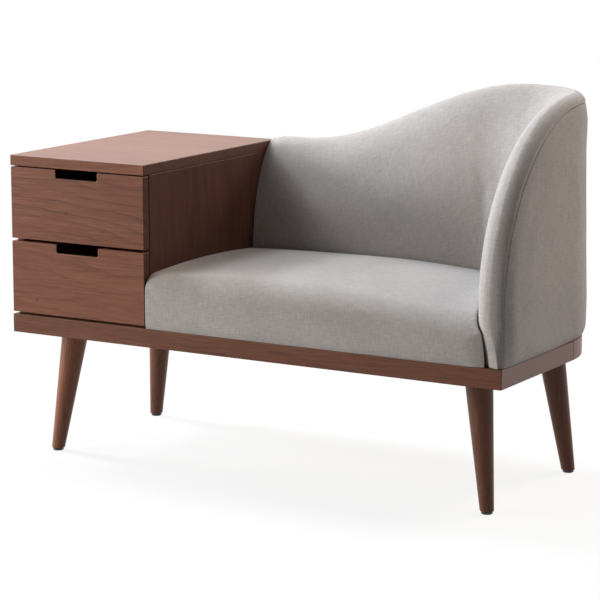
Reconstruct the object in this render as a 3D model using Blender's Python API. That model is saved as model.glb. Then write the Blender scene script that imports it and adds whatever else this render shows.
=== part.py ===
"""Hall bench: a two-drawer walnut cabinet beside an upholstered seat whose back sweeps up into one arm.

Metres, +Z up. +X runs from the cabinet to the arm, the front faces -Y, and the origin is on the floor
under the middle of the bench. Pieces are placed in bench space, which starts at the front left corner
of the base frame, on the floor.
"""

import math

import bmesh
import bpy
import numpy as np
from mathutils import Matrix, Vector

# Joint line between two pieces that touch
GAP = 0.0003

# Edges: how boards are eased, and the angles past which an edge is eased or shown sharp
EDGE_EASE = 0.0012
EDGE_STEPS = 2
EASE_ANGLE = math.radians(35)
SHARP_ANGLE = math.radians(40)
MERGE_DISTANCE = 1e-6

# Base frame
BASE_LENGTH = 1.150
BASE_DEPTH = 0.520
FLOOR_CLEARANCE = 0.2655
RAIL_HEIGHT = 0.039
RAIL_THICKNESS = 0.024
CORNER_RADIUS = 0.190
CORNER_STEPS = 14
BOARD_THICKNESS = 0.012
CROSS_RAIL_THICKNESS = 0.022

# Legs, from the plate under the corner block down to the glide
LEG_TOP_DIAMETER = 0.057
LEG_FOOT_DIAMETER = 0.028
LEG_SPLAY_ALONG = 0.034
LEG_SPLAY_ACROSS = 0.025
LEG_SIDES = 24
FOOT_EASE = 0.002
PLATE_RIM = 0.001
PLATE_THICKNESS = 0.0025
PLATE_RECESS = 0.0015
PLATE_CLEARANCE = 0.002
BLOCK_MARGIN = 0.025
BOLT_DIAMETER = 0.008
BOLT_IN_LEG = 0.035
BOLT_IN_BLOCK = 0.014
BOLT_SIDES = 12
GLIDE_DIAMETER = 0.023
GLIDE_HEIGHT = 0.005
GLIDE_EASE = 0.0015
GLIDE_SIDES = 24
SHANK_DIAMETER = 0.003
SHANK_LENGTH = 0.012

# Cabinet, which stands on the base frame
CABINET_WIDTH = 0.337
CABINET_HEIGHT = 0.339
TOP_THICKNESS = 0.022
SIDE_THICKNESS = 0.018
FLOOR_THICKNESS = 0.018
BACK_THICKNESS = 0.006
BACK_INSET = 0.008

# Drawers
FRONT_THICKNESS = 0.020
FRONT_REVEAL = 0.001
FRONT_CLEARANCE = 0.0012
GAP_UNDER_TOP = 0.0025
GAP_BETWEEN_FRONTS = 0.006
GAP_OVER_RAIL = 0.0055
NOTCH_WIDTH = 0.105
NOTCH_DEPTH = 0.018
NOTCH_CORNER = 0.004
NOTCH_STEPS = 4
BOX_REAR_SPACE = 0.0357
BOX_WALL = 0.012
BOX_DROP = 0.003
BOX_CLEARANCE = 0.005
PANEL_THICKNESS = 0.005
GROOVE_DEPTH = 0.005
GROOVE_HEIGHT = 0.008

# Drawer slides: a lipped track on the cabinet and a runner on the drawer box
SLIDE_SPACE = 0.0127
SLIDE_SHORTFALL = 0.010
SLIDE_HEIGHT = 0.035
SLIDE_CENTRE = 0.050
TRACK_WIDTH = 0.0095
TRACK_WALL = 0.0012
TRACK_LIP = 0.006
RUNNER_PLATE = 0.0022
RUNNER_PLATE_HEIGHT = 0.028
SLIDE_PLAY = 0.0004

# Seat cushion
SEAT_EDGE_HEIGHT = 0.111
SEAT_CROWN_ALONG = 0.008
SEAT_CROWN_ACROSS = 0.009
SEAT_FRONT_ROUND = 0.050
SEAT_END_ROUND = 0.028
SEAT_ROUND_CHANGE = 0.160
SEAT_SIDE_ROUND = 0.006
SEAT_TUCK = 0.003
SEAT_TUCK_HEIGHT = 0.014
SEAT_CLEARANCE = 0.0025

# Sampling of the cushion: rows over the front bend and behind it, columns, points on a side rounding,
# and the turns of its drawn-in foot as shares of the tuck's height and depth
SEAT_BEND_ROWS = 9
SEAT_FLAT_ROWS = 9
SEAT_ROW_CROWDING = 1.5
SEAT_COLUMNS = 12
SEAT_ROUND_SHARES = (0.0, 0.3, 1.0)
SEAT_TUCK_TURNS = ((1.0, 0.0), (0.35, 0.4), (0.0, 1.0))

# Sweep of the back and arm, as the seam along the top of the outer cover
ARM_VERTICAL = 0.101
ARM_RISE = 0.371
ARM_RUN = 0.3525
SEAM_SETBACK = 0.012
BACK_BELOW_CABINET = 0.009
SWEEP_LENGTH = 0.540
END_DIP = 0.005
END_DIP_RUN = 0.034
ARM_FAN_FOOT = 0.237

# Padding of the back and arm, measured inwards from the face of the base frame
ROLL_FOOT = 0.010
ARM_ROLL = 0.020
BACK_ROLL = 0.0195
SEAM_INSET = 0.0025
ARM_RIDGE_INSET = 0.032
ARM_LIP = 0.016
ARM_LIP_RUN = 0.022
ARM_PAD = 0.064
ARM_SOFTNESS = 0.095
BACK_RIDGE_INSET = 0.008
BACK_LIP = 0.012
BACK_LIP_RUN = 0.015
BACK_PAD = 0.085
BACK_SOFTNESS = 0.090
INNER_CORNER_RADIUS = 0.160
COVER_BULGE = 0.0115
COVER_TOP_BULGE = 0.002
COVER_EASE = 0.045
COVER_FOOT = 0.085
FRAME_INSET = 0.004
FRAME_THICKNESS = 0.015
FRAME_MARGIN = 0.030
FRAME_BOLT_DIAMETER = 0.006
FRAME_BOLT_LENGTH = 0.060
FRAME_BOLT_HEAD_DIAMETER = 0.011
FRAME_BOLT_HEAD_HEIGHT = 0.004
FRAME_BOLT_RECESS = 0.002
BOLT_FROM_FRONT = 0.160
BOLT_FROM_CABINET = 0.120

# Sampling of the back and arm: section lines, and points down each line. Depths are from the ridge or the
# seam, and shares divide what is left of the line below the last of those depths
UPRIGHT_LINES = 3
BEND_LINES = 12
CORNER_LINES = 7
FALL_LINES = 11
DIP_LINES = 3
ROLL_ANGLES = (0, 30, 60)
PAD_DEPTHS = (0.0, 0.002, 0.006, 0.013, 0.026, 0.048)
PAD_SHARES = (0.18, 0.38, 0.6, 0.8, 1.0)
COVER_DEPTHS = (0.0, 0.003, 0.010, 0.020)
COVER_SHARES = (0.0, 0.35, 0.65, 0.82, 0.92, 0.97, 1.0)

# Levels and places worked out from the sizes above
RAIL_BOTTOM = FLOOR_CLEARANCE
RAIL_TOP = RAIL_BOTTOM + RAIL_HEIGHT
SEAT_FLOOR = RAIL_TOP + GAP
CABINET_TOP = RAIL_TOP + CABINET_HEIGHT
TOP_UNDERSIDE = CABINET_TOP - TOP_THICKNESS
CARCASS_FRONT = FRONT_THICKNESS + FRONT_CLEARANCE
BOX_FRONT = FRONT_THICKNESS + GAP
BOX_LENGTH = BASE_DEPTH - BACK_INSET - BACK_THICKNESS - BOX_REAR_SPACE - BOX_FRONT
SLIDE_LENGTH = BOX_LENGTH - SLIDE_SHORTFALL
BLOCK_BOTTOM = RAIL_BOTTOM + PLATE_RECESS + PLATE_THICKNESS + GAP
BLOCK_TOP = RAIL_TOP - BOARD_THICKNESS - GAP
LEG_TOP = RAIL_BOTTOM + PLATE_RECESS - GAP
LEG_FOOT = GLIDE_HEIGHT + GAP
PLATE_DIAMETER = LEG_TOP_DIAMETER + 2 * PLATE_RIM
INNER_RADIUS = CORNER_RADIUS - RAIL_THICKNESS
LEG_INSET = CORNER_RADIUS - (INNER_RADIUS - PLATE_DIAMETER / 2 - PLATE_CLEARANCE) / math.sqrt(2)
BLOCK_REACH = LEG_INSET + PLATE_DIAMETER / 2 + BLOCK_MARGIN
OVERALL_WIDTH = BASE_LENGTH + COVER_BULGE
OVERALL_DEPTH = BASE_DEPTH + COVER_BULGE

# Developed length of the outer face: along the arm, round the corner, along the back to the cabinet
ARM_END = BASE_DEPTH - CORNER_RADIUS
CORNER_END = ARM_END + CORNER_RADIUS * math.pi / 2
CORNER_MIDDLE = (ARM_END + CORNER_END) / 2
ARM_THICKNESS = ARM_RIDGE_INSET + ARM_LIP + ARM_PAD
BACK_THICKNESS_AT_SEAT = BACK_RIDGE_INSET + BACK_LIP + BACK_PAD
BACK_END = CORNER_END + BASE_LENGTH - CORNER_RADIUS - CABINET_WIDTH - GAP
ARM_APEX = SEAM_SETBACK + ARM_RUN
SEAM_HIGH = RAIL_TOP + ARM_VERTICAL + ARM_RISE
SEAM_LOW = CABINET_TOP - BACK_BELOW_CABINET
SEAT_LEVEL = RAIL_TOP + SEAT_EDGE_HEIGHT


def clear_scene():
    for obj in list(bpy.data.objects):
        bpy.data.objects.remove(obj, do_unlink=True)


def finish(name, colour, roughness, metallic=0.0):
    """A Principled material of one colour."""
    material = bpy.data.materials.new(name)
    material.use_nodes = True
    shader = material.node_tree.nodes["Principled BSDF"]
    shader.inputs["Base Color"].default_value = (*colour, 1.0)
    shader.inputs["Roughness"].default_value = roughness
    shader.inputs["Metallic"].default_value = metallic
    material.diffuse_color = (*colour, 1.0)
    return material


def empty(name, location, parent=None):
    obj = bpy.data.objects.new(name, None)
    obj.location = location
    obj.parent = parent
    bpy.context.scene.collection.objects.link(obj)
    return obj


def place(name, mesh_builder, material, parent, location=(0, 0, 0), smooth=False):
    """Turns a bmesh into a named object with outward faces."""
    bmesh.ops.recalc_face_normals(mesh_builder, faces=mesh_builder.faces)
    mesh = bpy.data.meshes.new(name)
    mesh_builder.to_mesh(mesh)
    mesh_builder.free()
    if smooth:
        mesh.shade_smooth()
        mesh.set_sharp_from_angle(angle=SHARP_ANGLE)
    if material:
        mesh.materials.append(material)
    obj = bpy.data.objects.new(name, mesh)
    obj.location = location
    obj.parent = parent
    bpy.context.scene.collection.objects.link(obj)
    return obj


def ease_edges(obj, width=EDGE_EASE, segments=EDGE_STEPS):
    bevel = obj.modifiers.new("eased_edges", "BEVEL")
    bevel.width = width
    bevel.segments = segments
    bevel.limit_method = "ANGLE"
    bevel.angle_limit = EASE_ANGLE


def box(name, low, high, material, parent):
    """A board between two corners, with its origin in its middle."""
    low = Vector(low)
    high = Vector(high)
    builder = bmesh.new()
    bmesh.ops.create_cube(builder, size=1.0, matrix=Matrix.Diagonal((*(high - low), 1.0)))
    return place(name, builder, material, parent, (low + high) / 2)


def extrusion(name, outline, axis, start, end, material, parent):
    """An outline carried straight along one axis; its points hold the other two coordinates in order."""
    builder = bmesh.new()
    others = [i for i in range(3) if i != axis]
    vertices = []
    for point in outline:
        corner = [0.0, 0.0, 0.0]
        corner[others[0]] = point[0]
        corner[others[1]] = point[1]
        vertices.append(builder.verts.new(corner))
    face = builder.faces.new(vertices)
    grown = bmesh.ops.extrude_face_region(builder, geom=[face])
    offset = Vector((0, 0, 0))
    offset[axis] = end - start
    moved = [item for item in grown["geom"] if isinstance(item, bmesh.types.BMVert)]
    bmesh.ops.translate(builder, verts=moved, vec=offset)
    location = Vector((0, 0, 0))
    location[axis] = start
    return place(name, builder, material, parent, location)


def turned(profile, sides):
    """A profile of (radius, height) points, closed on the axis at both ends, spun round Z."""
    builder = bmesh.new()
    vertices = [builder.verts.new((radius, 0, height)) for radius, height in profile]
    edges = [builder.edges.new(pair) for pair in zip(vertices, vertices[1:])]
    bmesh.ops.spin(
        builder,
        geom=vertices + edges,
        cent=(0, 0, 0),
        axis=(0, 0, 1),
        angle=2 * math.pi,
        steps=sides,
        use_merge=True,
    )
    bmesh.ops.remove_doubles(builder, verts=builder.verts, dist=MERGE_DISTANCE)
    return builder


def rod(radius, low, high, sides=BOLT_SIDES):
    return turned([(0, low), (radius, low), (radius, high), (0, high)], sides)


def slice_flat(builder, point, normal):
    """Cuts away what lies beyond a plane and closes the cut with one face."""
    geometry = builder.verts[:] + builder.edges[:] + builder.faces[:]
    cut = bmesh.ops.bisect_plane(
        builder, geom=geometry, plane_co=point, plane_no=normal, clear_outer=True
    )
    rim = [item for item in cut["geom_cut"] if isinstance(item, bmesh.types.BMEdge)]
    bmesh.ops.edgeloop_fill(builder, edges=rim)


def cutter(name, builder, parent, location=(0, 0, 0), rotation=None):
    obj = place(name, builder, None, parent, location)
    if rotation:
        obj.rotation_mode = "QUATERNION"
        obj.rotation_quaternion = rotation
    obj.hide_render = True
    obj.display_type = "WIRE"
    return obj


def bore(target, tool):
    cut = target.modifiers.new("bore_" + tool.name, "BOOLEAN")
    cut.operation = "DIFFERENCE"
    cut.solver = "EXACT"
    cut.object = tool


def arc(centre, radius, first, last, steps):
    """Points on an arc between two angles in degrees, both ends included."""
    angles = [math.radians(first + (last - first) * i / steps) for i in range(steps + 1)]
    return [(centre[0] + radius * math.cos(a), centre[1] + radius * math.sin(a)) for a in angles]


def base_frame(bench, walnut, plywood):
    """Mitred rails with a bent rear corner, two cross rails and the board that they carry."""
    length = BASE_LENGTH
    depth = BASE_DEPTH
    wall = RAIL_THICKNESS
    inner = wall + GAP
    centre = (length - CORNER_RADIUS, depth - CORNER_RADIUS)
    turn = math.degrees(GAP / CORNER_RADIUS)
    outlines = {
        "front_rail": [(GAP, 0), (length - GAP, 0), (length - inner, wall), (inner, wall)],
        "left_rail": [(0, GAP), (wall, inner), (wall, depth - inner), (0, depth - GAP)],
        "back_rail": [
            (GAP, depth), (inner, depth - wall), (centre[0], depth - wall), (centre[0], depth)
        ],
        "right_rail": [
            (length, GAP), (length, centre[1]), (length - wall, centre[1]), (length - wall, inner)
        ],
        "corner_rail": arc(centre, CORNER_RADIUS, turn, 90 - turn, CORNER_STEPS)
        + arc(centre, INNER_RADIUS, 90 - turn, turn, CORNER_STEPS),
    }
    rails = {}
    for name, outline in outlines.items():
        rails[name] = extrusion(name, outline, 2, RAIL_BOTTOM, RAIL_TOP, walnut, bench)
        ease_edges(rails[name])
    board = [(inner, inner), (length - inner, inner)]
    board += arc(centre, INNER_RADIUS - GAP, 0, 90, CORNER_STEPS)
    board += [(inner, depth - inner)]
    extrusion("base_board", board, 2, RAIL_TOP - BOARD_THICKNESS, RAIL_TOP, plywood, bench)
    seat_middle = (CABINET_WIDTH + length - BLOCK_REACH) / 2
    middles = {
        "cabinet_cross_rail": CABINET_WIDTH - SIDE_THICKNESS / 2,
        "seat_cross_rail": seat_middle,
    }
    for name, middle in middles.items():
        low = (middle - CROSS_RAIL_THICKNESS / 2, inner, BLOCK_BOTTOM)
        high = (middle + CROSS_RAIL_THICKNESS / 2, depth - inner, BLOCK_TOP)
        box(name, low, high, plywood, bench)
    return rails


def leg_block_outline(right, back):
    """Plan of a corner block; the one behind the arm follows the bent rail."""
    inner = RAIL_THICKNESS + GAP
    corners = [(inner, inner), (BLOCK_REACH, inner), (BLOCK_REACH, BLOCK_REACH), (inner, BLOCK_REACH)]
    if right and back:
        radius = INNER_RADIUS - GAP
        reach = BLOCK_REACH - CORNER_RADIUS
        angle = math.degrees(math.asin(-reach / radius))
        bend = arc((0, 0), radius, angle, 90 - angle, CORNER_STEPS)
        corners = [(CORNER_RADIUS - x, CORNER_RADIUS - y) for x, y in bend]
        corners.append((BLOCK_REACH, BLOCK_REACH))
    return [
        (BASE_LENGTH - x if right else x, BASE_DEPTH - y if back else y) for x, y in corners
    ]


def leg(place_name, right, back, bench, finishes):
    """One turned, splayed leg with its block, plate, hanger bolt and glide."""
    outward_x = 1 if right else -1
    outward_y = 1 if back else -1
    top = Vector(
        (
            BASE_LENGTH - LEG_INSET if right else LEG_INSET,
            BASE_DEPTH - LEG_INSET if back else LEG_INSET,
            LEG_TOP,
        )
    )
    foot = Vector(
        (top.x + outward_x * LEG_SPLAY_ALONG, top.y + outward_y * LEG_SPLAY_ACROSS, LEG_FOOT)
    )
    axis = top - foot
    length = axis.length
    tilt = Vector((0, 0, 1)).rotation_difference(axis)
    upright = tilt.inverted() @ Vector((0, 0, 1))

    outline = leg_block_outline(right, back)
    block = extrusion(
        "leg_block_" + place_name, outline, 2, BLOCK_BOTTOM, BLOCK_TOP, finishes["plywood"], bench
    )
    plate_low = RAIL_BOTTOM + PLATE_RECESS
    disc = rod(PLATE_DIAMETER / 2, 0, PLATE_THICKNESS, LEG_SIDES)
    plate = place(
        "leg_plate_" + place_name, disc, finishes["steel"], bench, (top.x, top.y, plate_low), True
    )

    slope = (LEG_TOP_DIAMETER - LEG_FOOT_DIAMETER) / 2 / length
    spare = LEG_FOOT_DIAMETER / 2
    low = LEG_FOOT_DIAMETER / 2 - slope * spare
    high = LEG_TOP_DIAMETER / 2 + slope * spare
    cone = turned([(0, -spare), (low, -spare), (high, length + spare), (0, length + spare)], LEG_SIDES)
    slice_flat(cone, (0, 0, length), upright)
    slice_flat(cone, (0, 0, 0), -upright)
    post = place("leg_" + place_name, cone, finishes["walnut"], bench, foot, True)
    post.rotation_mode = "QUATERNION"
    post.rotation_quaternion = tilt
    ease_edges(post, FOOT_EASE)

    radius = BOLT_DIAMETER / 2
    bolt_rod = rod(radius, length - BOLT_IN_LEG, length + BOLT_IN_BLOCK)
    bolt = place("leg_bolt_" + place_name, bolt_rod, finishes["steel"], bench, foot, True)
    bolt.rotation_mode = "QUATERNION"
    bolt.rotation_quaternion = tilt
    hole = rod(radius + GAP, length - BOLT_IN_LEG - GAP, length + BOLT_IN_BLOCK + GAP)
    bolt_hole = cutter("leg_bolt_hole_" + place_name, hole, bench, foot, tilt)
    for piece in (post, plate, block):
        bore(piece, bolt_hole)

    shank = SHANK_DIAMETER / 2
    ball = GLIDE_DIAMETER / 2
    glide_profile = [
        (0, 0), (ball - GLIDE_EASE, 0), (ball, GLIDE_EASE), (ball, GLIDE_HEIGHT),
        (shank, GLIDE_HEIGHT), (shank, GLIDE_HEIGHT + SHANK_LENGTH), (0, GLIDE_HEIGHT + SHANK_LENGTH),
    ]
    glide_body = turned(glide_profile, GLIDE_SIDES)
    place("glide_" + place_name, glide_body, finishes["nylon"], bench, (foot.x, foot.y, 0), True)
    pilot = rod(shank + GAP, 0, GLIDE_HEIGHT + SHANK_LENGTH + GAP)
    bore(post, cutter("glide_hole_" + place_name, pilot, bench, (foot.x, foot.y, 0)))


def cabinet(bench, walnut, plywood):
    """Two sides, floor, back and a top that runs over the sides and the drawer fronts."""
    inside_left = SIDE_THICKNESS + GAP
    inside_right = CABINET_WIDTH - SIDE_THICKNESS - GAP
    under_top = TOP_UNDERSIDE - GAP
    boards = {
        "cabinet_left_side": (
            (0, CARCASS_FRONT, SEAT_FLOOR), (SIDE_THICKNESS, BASE_DEPTH, under_top)
        ),
        "cabinet_right_side": (
            (CABINET_WIDTH - SIDE_THICKNESS, CARCASS_FRONT, SEAT_FLOOR),
            (CABINET_WIDTH, BASE_DEPTH, under_top),
        ),
        "cabinet_bottom": (
            (inside_left, CARCASS_FRONT, SEAT_FLOOR),
            (inside_right, BASE_DEPTH, RAIL_TOP + FLOOR_THICKNESS),
        ),
        "cabinet_top": ((0, 0, TOP_UNDERSIDE), (CABINET_WIDTH, BASE_DEPTH, CABINET_TOP)),
    }
    for name, (low, high) in boards.items():
        ease_edges(box(name, low, high, walnut, bench))
    back_face = BASE_DEPTH - BACK_INSET
    box(
        "cabinet_back",
        (inside_left, back_face - BACK_THICKNESS, RAIL_TOP + FLOOR_THICKNESS + GAP),
        (inside_right, back_face, under_top),
        plywood,
        bench,
    )


def drawer_front_outline(width, height):
    """A front seen from the front, with the finger notch open at its upper edge."""
    left = (width - NOTCH_WIDTH) / 2
    right = (width + NOTCH_WIDTH) / 2
    floor = height - NOTCH_DEPTH
    right_bend = arc((right - NOTCH_CORNER, floor + NOTCH_CORNER), NOTCH_CORNER, 0, -90, NOTCH_STEPS)
    left_bend = arc((left + NOTCH_CORNER, floor + NOTCH_CORNER), NOTCH_CORNER, -90, -180, NOTCH_STEPS)
    return (
        [(0, 0), (width, 0), (width, height), (right, height)]
        + right_bend
        + left_bend
        + [(left, height), (0, height)]
    )


def grooved_wall(outer, inner, low, high):
    """Section of a drawer wall: a board with a groove for the bottom panel in its inner face."""
    step = math.copysign(GROOVE_DEPTH, outer - inner)
    groove_low = low + GROOVE_HEIGHT - GAP
    groove_high = low + GROOVE_HEIGHT + PANEL_THICKNESS + GAP
    return [
        (outer, low), (inner, low), (inner, groove_low), (inner + step, groove_low),
        (inner + step, groove_high), (inner, groove_high), (inner, high), (outer, high),
    ]


def track_section(wall, towards):
    """Lipped channel on the cabinet side; x runs from the side towards the drawer."""
    half = SLIDE_HEIGHT / 2
    upper = [
        (TRACK_WIDTH, half - TRACK_LIP), (TRACK_WIDTH, half), (GAP, half),
    ]
    inside = [
        (GAP + TRACK_WALL, half - TRACK_WALL), (TRACK_WIDTH - TRACK_WALL, half - TRACK_WALL),
        (TRACK_WIDTH - TRACK_WALL, half - TRACK_LIP),
    ]
    lower = [(x, -z) for x, z in reversed(upper)]
    lower_inside = [(x, -z) for x, z in reversed(inside)]
    outline = upper + lower + lower_inside + inside
    return [(wall + towards * x, z) for x, z in outline]


def runner_section(wall, towards):
    """Slider held in the track, its neck between the lips, and the plate on the drawer box."""
    inside = GAP + TRACK_WALL + SLIDE_PLAY
    shoulder = TRACK_WIDTH - TRACK_WALL - SLIDE_PLAY
    slider = SLIDE_HEIGHT / 2 - TRACK_WALL - SLIDE_PLAY
    neck = SLIDE_HEIGHT / 2 - TRACK_LIP - SLIDE_PLAY
    plate_far = SLIDE_SPACE - GAP
    plate_near = plate_far - RUNNER_PLATE
    plate = RUNNER_PLATE_HEIGHT / 2
    upper = [
        (plate_far, plate), (plate_near, plate), (plate_near, neck),
        (shoulder, neck), (shoulder, slider), (inside, slider),
    ]
    outline = upper + [(x, -z) for x, z in reversed(upper)]
    return [(wall + towards * x, z) for x, z in outline]


def drawer(name, front_low, front_height, bench, finishes):
    """A drawer that slides out along -Y: notched front, grooved box and a runner on each side."""
    axis_height = front_low + FLOOR_THICKNESS + BOX_CLEARANCE - GAP_OVER_RAIL + SLIDE_CENTRE
    axis = empty(name, (CABINET_WIDTH / 2, 0, axis_height), bench)
    low = -SLIDE_CENTRE
    high = front_low + front_height - NOTCH_DEPTH - BOX_DROP - axis_height
    half = CABINET_WIDTH / 2 - SIDE_THICKNESS - SLIDE_SPACE
    box_front = BOX_FRONT
    box_back = BOX_FRONT + BOX_LENGTH
    walnut = finishes["walnut"]
    birch = finishes["birch"]

    front_width = CABINET_WIDTH - 2 * FRONT_REVEAL
    outline = [
        (x - front_width / 2, z + front_low - axis_height)
        for x, z in drawer_front_outline(front_width, front_height)
    ]
    ease_edges(extrusion(name + "_front", outline, 1, 0, FRONT_THICKNESS, walnut, axis))
    for side, sign in (("left", -1), ("right", 1)):
        section = grooved_wall(sign * half, sign * (half - BOX_WALL), low, high)
        extrusion(f"{name}_{side}_side", section, 1, box_front, box_back, birch, axis)
    between = half - BOX_WALL - GAP
    front_section = grooved_wall(box_front, box_front + BOX_WALL, low, high)
    extrusion(name + "_box_front", front_section, 0, -between, between, birch, axis)
    back_section = grooved_wall(box_back, box_back - BOX_WALL, low, high)
    extrusion(name + "_back", back_section, 0, -between, between, birch, axis)
    tongue = GROOVE_DEPTH - GAP
    panel_half = half - BOX_WALL + tongue
    box(
        name + "_bottom",
        (-panel_half, box_front + BOX_WALL - tongue, low + GROOVE_HEIGHT),
        (panel_half, box_back - BOX_WALL + tongue, low + GROOVE_HEIGHT + PANEL_THICKNESS),
        birch,
        axis,
    )
    wall = CABINET_WIDTH / 2 - SIDE_THICKNESS
    for side, sign in (("left", -1), ("right", 1)):
        slide_end = CARCASS_FRONT + SLIDE_LENGTH
        runner = runner_section(sign * wall, -sign)
        extrusion(f"{name}_{side}_runner", runner, 1, CARCASS_FRONT, slide_end, finishes["steel"], axis)
        track = track_section(CABINET_WIDTH / 2 + sign * wall, -sign)
        track = [(x, z + axis_height) for x, z in track]
        extrusion(f"{name}_{side}_track", track, 1, CARCASS_FRONT, slide_end, finishes["steel"], bench)


def smooth_step(t):
    t = np.clip(t, 0.0, 1.0)
    return (1 - np.cos(np.pi * t)) / 2


def quarter_round(t):
    """Rises steeply from 0 and flattens out at 1, as a quarter of a circle does."""
    return np.sqrt(1 - (1 - np.clip(t, 0.0, 1.0)) ** 2)


def plan_point(along, inset):
    """Plan position of a point on the outer face, moved inwards by its inset."""
    turn = np.clip((along - ARM_END) / CORNER_RADIUS, 0, math.pi / 2)
    arm_run = np.minimum(along - ARM_END, 0)
    back_run = np.maximum(along - CORNER_END, 0)
    x = BASE_LENGTH - CORNER_RADIUS + (CORNER_RADIUS - inset) * np.cos(turn) - back_run
    y = BASE_DEPTH - CORNER_RADIUS + (CORNER_RADIUS - inset) * np.sin(turn) + arm_run
    return x, y


def seam_height(along):
    """Height of the outer seam past the arm: level round the corner, then a soft fall to the cabinet."""
    fall = smooth_step((along - CORNER_END) / SWEEP_LENGTH)
    dip = END_DIP * (1 - smooth_step((BACK_END - along) / END_DIP_RUN))
    return SEAM_HIGH + (SEAM_LOW - SEAM_HIGH) * fall - dip


def arm_to_back(arm_size, back_size, along):
    """A size of the padding that changes from its arm value to its back value round the corner."""
    towards_back = smooth_step((along - ARM_END) / (CORNER_END - ARM_END))
    return arm_size + (back_size - arm_size) * towards_back


def roll_height(height, along):
    """How far the padded roll stands beyond the seam: little at the arm's foot, most along the back."""
    rise = smooth_step((height - SEAT_FLOOR) / (SEAM_HIGH - SEAT_FLOOR))
    return ROLL_FOOT + (arm_to_back(ARM_ROLL, BACK_ROLL, along) - ROLL_FOOT) * rise


def ridge_inset(along):
    return arm_to_back(ARM_RIDGE_INSET, BACK_RIDGE_INSET, along)


def corner_fill(along):
    """Padding added in the inner corner, so that arm and back meet in an arc of their own radius.

    Plan positions are taken from the centre of the outer corner. From a point on the line of centres,
    the distance straight out to the inner arc is found, and the padding reaches that far in.
    """
    arc_x = CORNER_RADIUS - ARM_THICKNESS - INNER_CORNER_RADIUS
    arc_y = CORNER_RADIUS - BACK_THICKNESS_AT_SEAT - INNER_CORNER_RADIUS
    turn = np.clip((along - ARM_END) / CORNER_RADIUS, 0, math.pi / 2)
    from_x = np.maximum(-np.maximum(along - CORNER_END, 0), arc_x) - arc_x
    from_y = np.maximum(np.minimum(along - ARM_END, 0), arc_y) - arc_y
    outward = from_x * np.cos(turn) + from_y * np.sin(turn)
    reach = np.sqrt(outward**2 - from_x**2 - from_y**2 + INNER_CORNER_RADIUS**2) - outward
    plain = arm_to_back(ARM_THICKNESS, BACK_THICKNESS_AT_SEAT, along)
    return np.maximum(CORNER_RADIUS - reach - plain, 0)


def pad_inset(depth, along):
    """How far the padding reaches inwards, at a depth below its ridge."""
    lip = arm_to_back(ARM_LIP, BACK_LIP, along)
    lip_run = arm_to_back(ARM_LIP_RUN, BACK_LIP_RUN, along)
    pad = arm_to_back(ARM_PAD, BACK_PAD, along) + corner_fill(along)
    softness = arm_to_back(ARM_SOFTNESS, BACK_SOFTNESS, along)
    swell = 1 - np.exp(-np.maximum(depth, 0) / softness)
    return ridge_inset(along) + lip * quarter_round(depth / lip_run) + pad * swell


def arm_depth(along):
    """Depth of a point of the arm behind the padded edge, as the seat meets it."""
    return along - SEAM_SETBACK + roll_height(SEAT_LEVEL, along)


def sweep_stations():
    """Section lines of the back and arm: where each starts on the seam, its direction and its length.

    On the arm the lines fan out from the foot, so that each crosses the seam nearly square.
    From the top of the arm to the cabinet they drop straight down.
    """
    upright_heights = np.linspace(SEAT_FLOOR, SEAT_FLOOR + ARM_VERTICAL, UPRIGHT_LINES + 1)[:-1]
    upright = [(SEAM_SETBACK, height) for height in upright_heights]
    angles = np.linspace(0, math.pi / 2, BEND_LINES + 1)
    bend = [
        (SEAM_SETBACK + ARM_RUN * (1 - math.cos(a)), RAIL_TOP + ARM_VERTICAL + ARM_RISE * math.sin(a))
        for a in angles
    ]
    fan = upright + bend
    fan_foot = np.linspace(ARM_FAN_FOOT, ARM_APEX, len(fan))
    round_corner = np.linspace(ARM_APEX, CORNER_END, CORNER_LINES + 1)[1:]
    dip_start = BACK_END - END_DIP_RUN
    falling = np.linspace(CORNER_END, dip_start, FALL_LINES + 1)[1:]
    dipping = np.linspace(dip_start, BACK_END, DIP_LINES + 1)[1:]
    stations = []
    for (along, height), foot in zip(fan, fan_foot):
        run = Vector((foot - along, SEAT_FLOOR - height))
        stations.append((along, height, run.normalized(), run.length))
    for along in [*round_corner, *falling, *dipping]:
        height = float(seam_height(along))
        stations.append((along, height, Vector((0, -1)), height - SEAT_FLOOR))
    return stations


def loft(name, rings, material, parent):
    """Skins closed rings of equal count and caps the first and the last."""
    builder = bmesh.new()
    rows = [[builder.verts.new(point) for point in ring] for ring in rings]
    count = len(rows[0])
    for lower, upper in zip(rows, rows[1:]):
        for i in range(count):
            j = (i + 1) % count
            builder.faces.new((lower[i], lower[j], upper[j], upper[i]))
    builder.faces.new(rows[0][::-1])
    builder.faces.new(rows[-1])
    return place(name, builder, material, parent, smooth=True)


def on_station(station, depths, insets):
    """Points of one section line, from depths below the seam and insets from the face."""
    along, height, direction, _ = station
    where = along + direction.x * depths
    x, y = plan_point(where, insets)
    z = height + direction.y * depths
    return np.stack([x, y, z], axis=-1)


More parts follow.
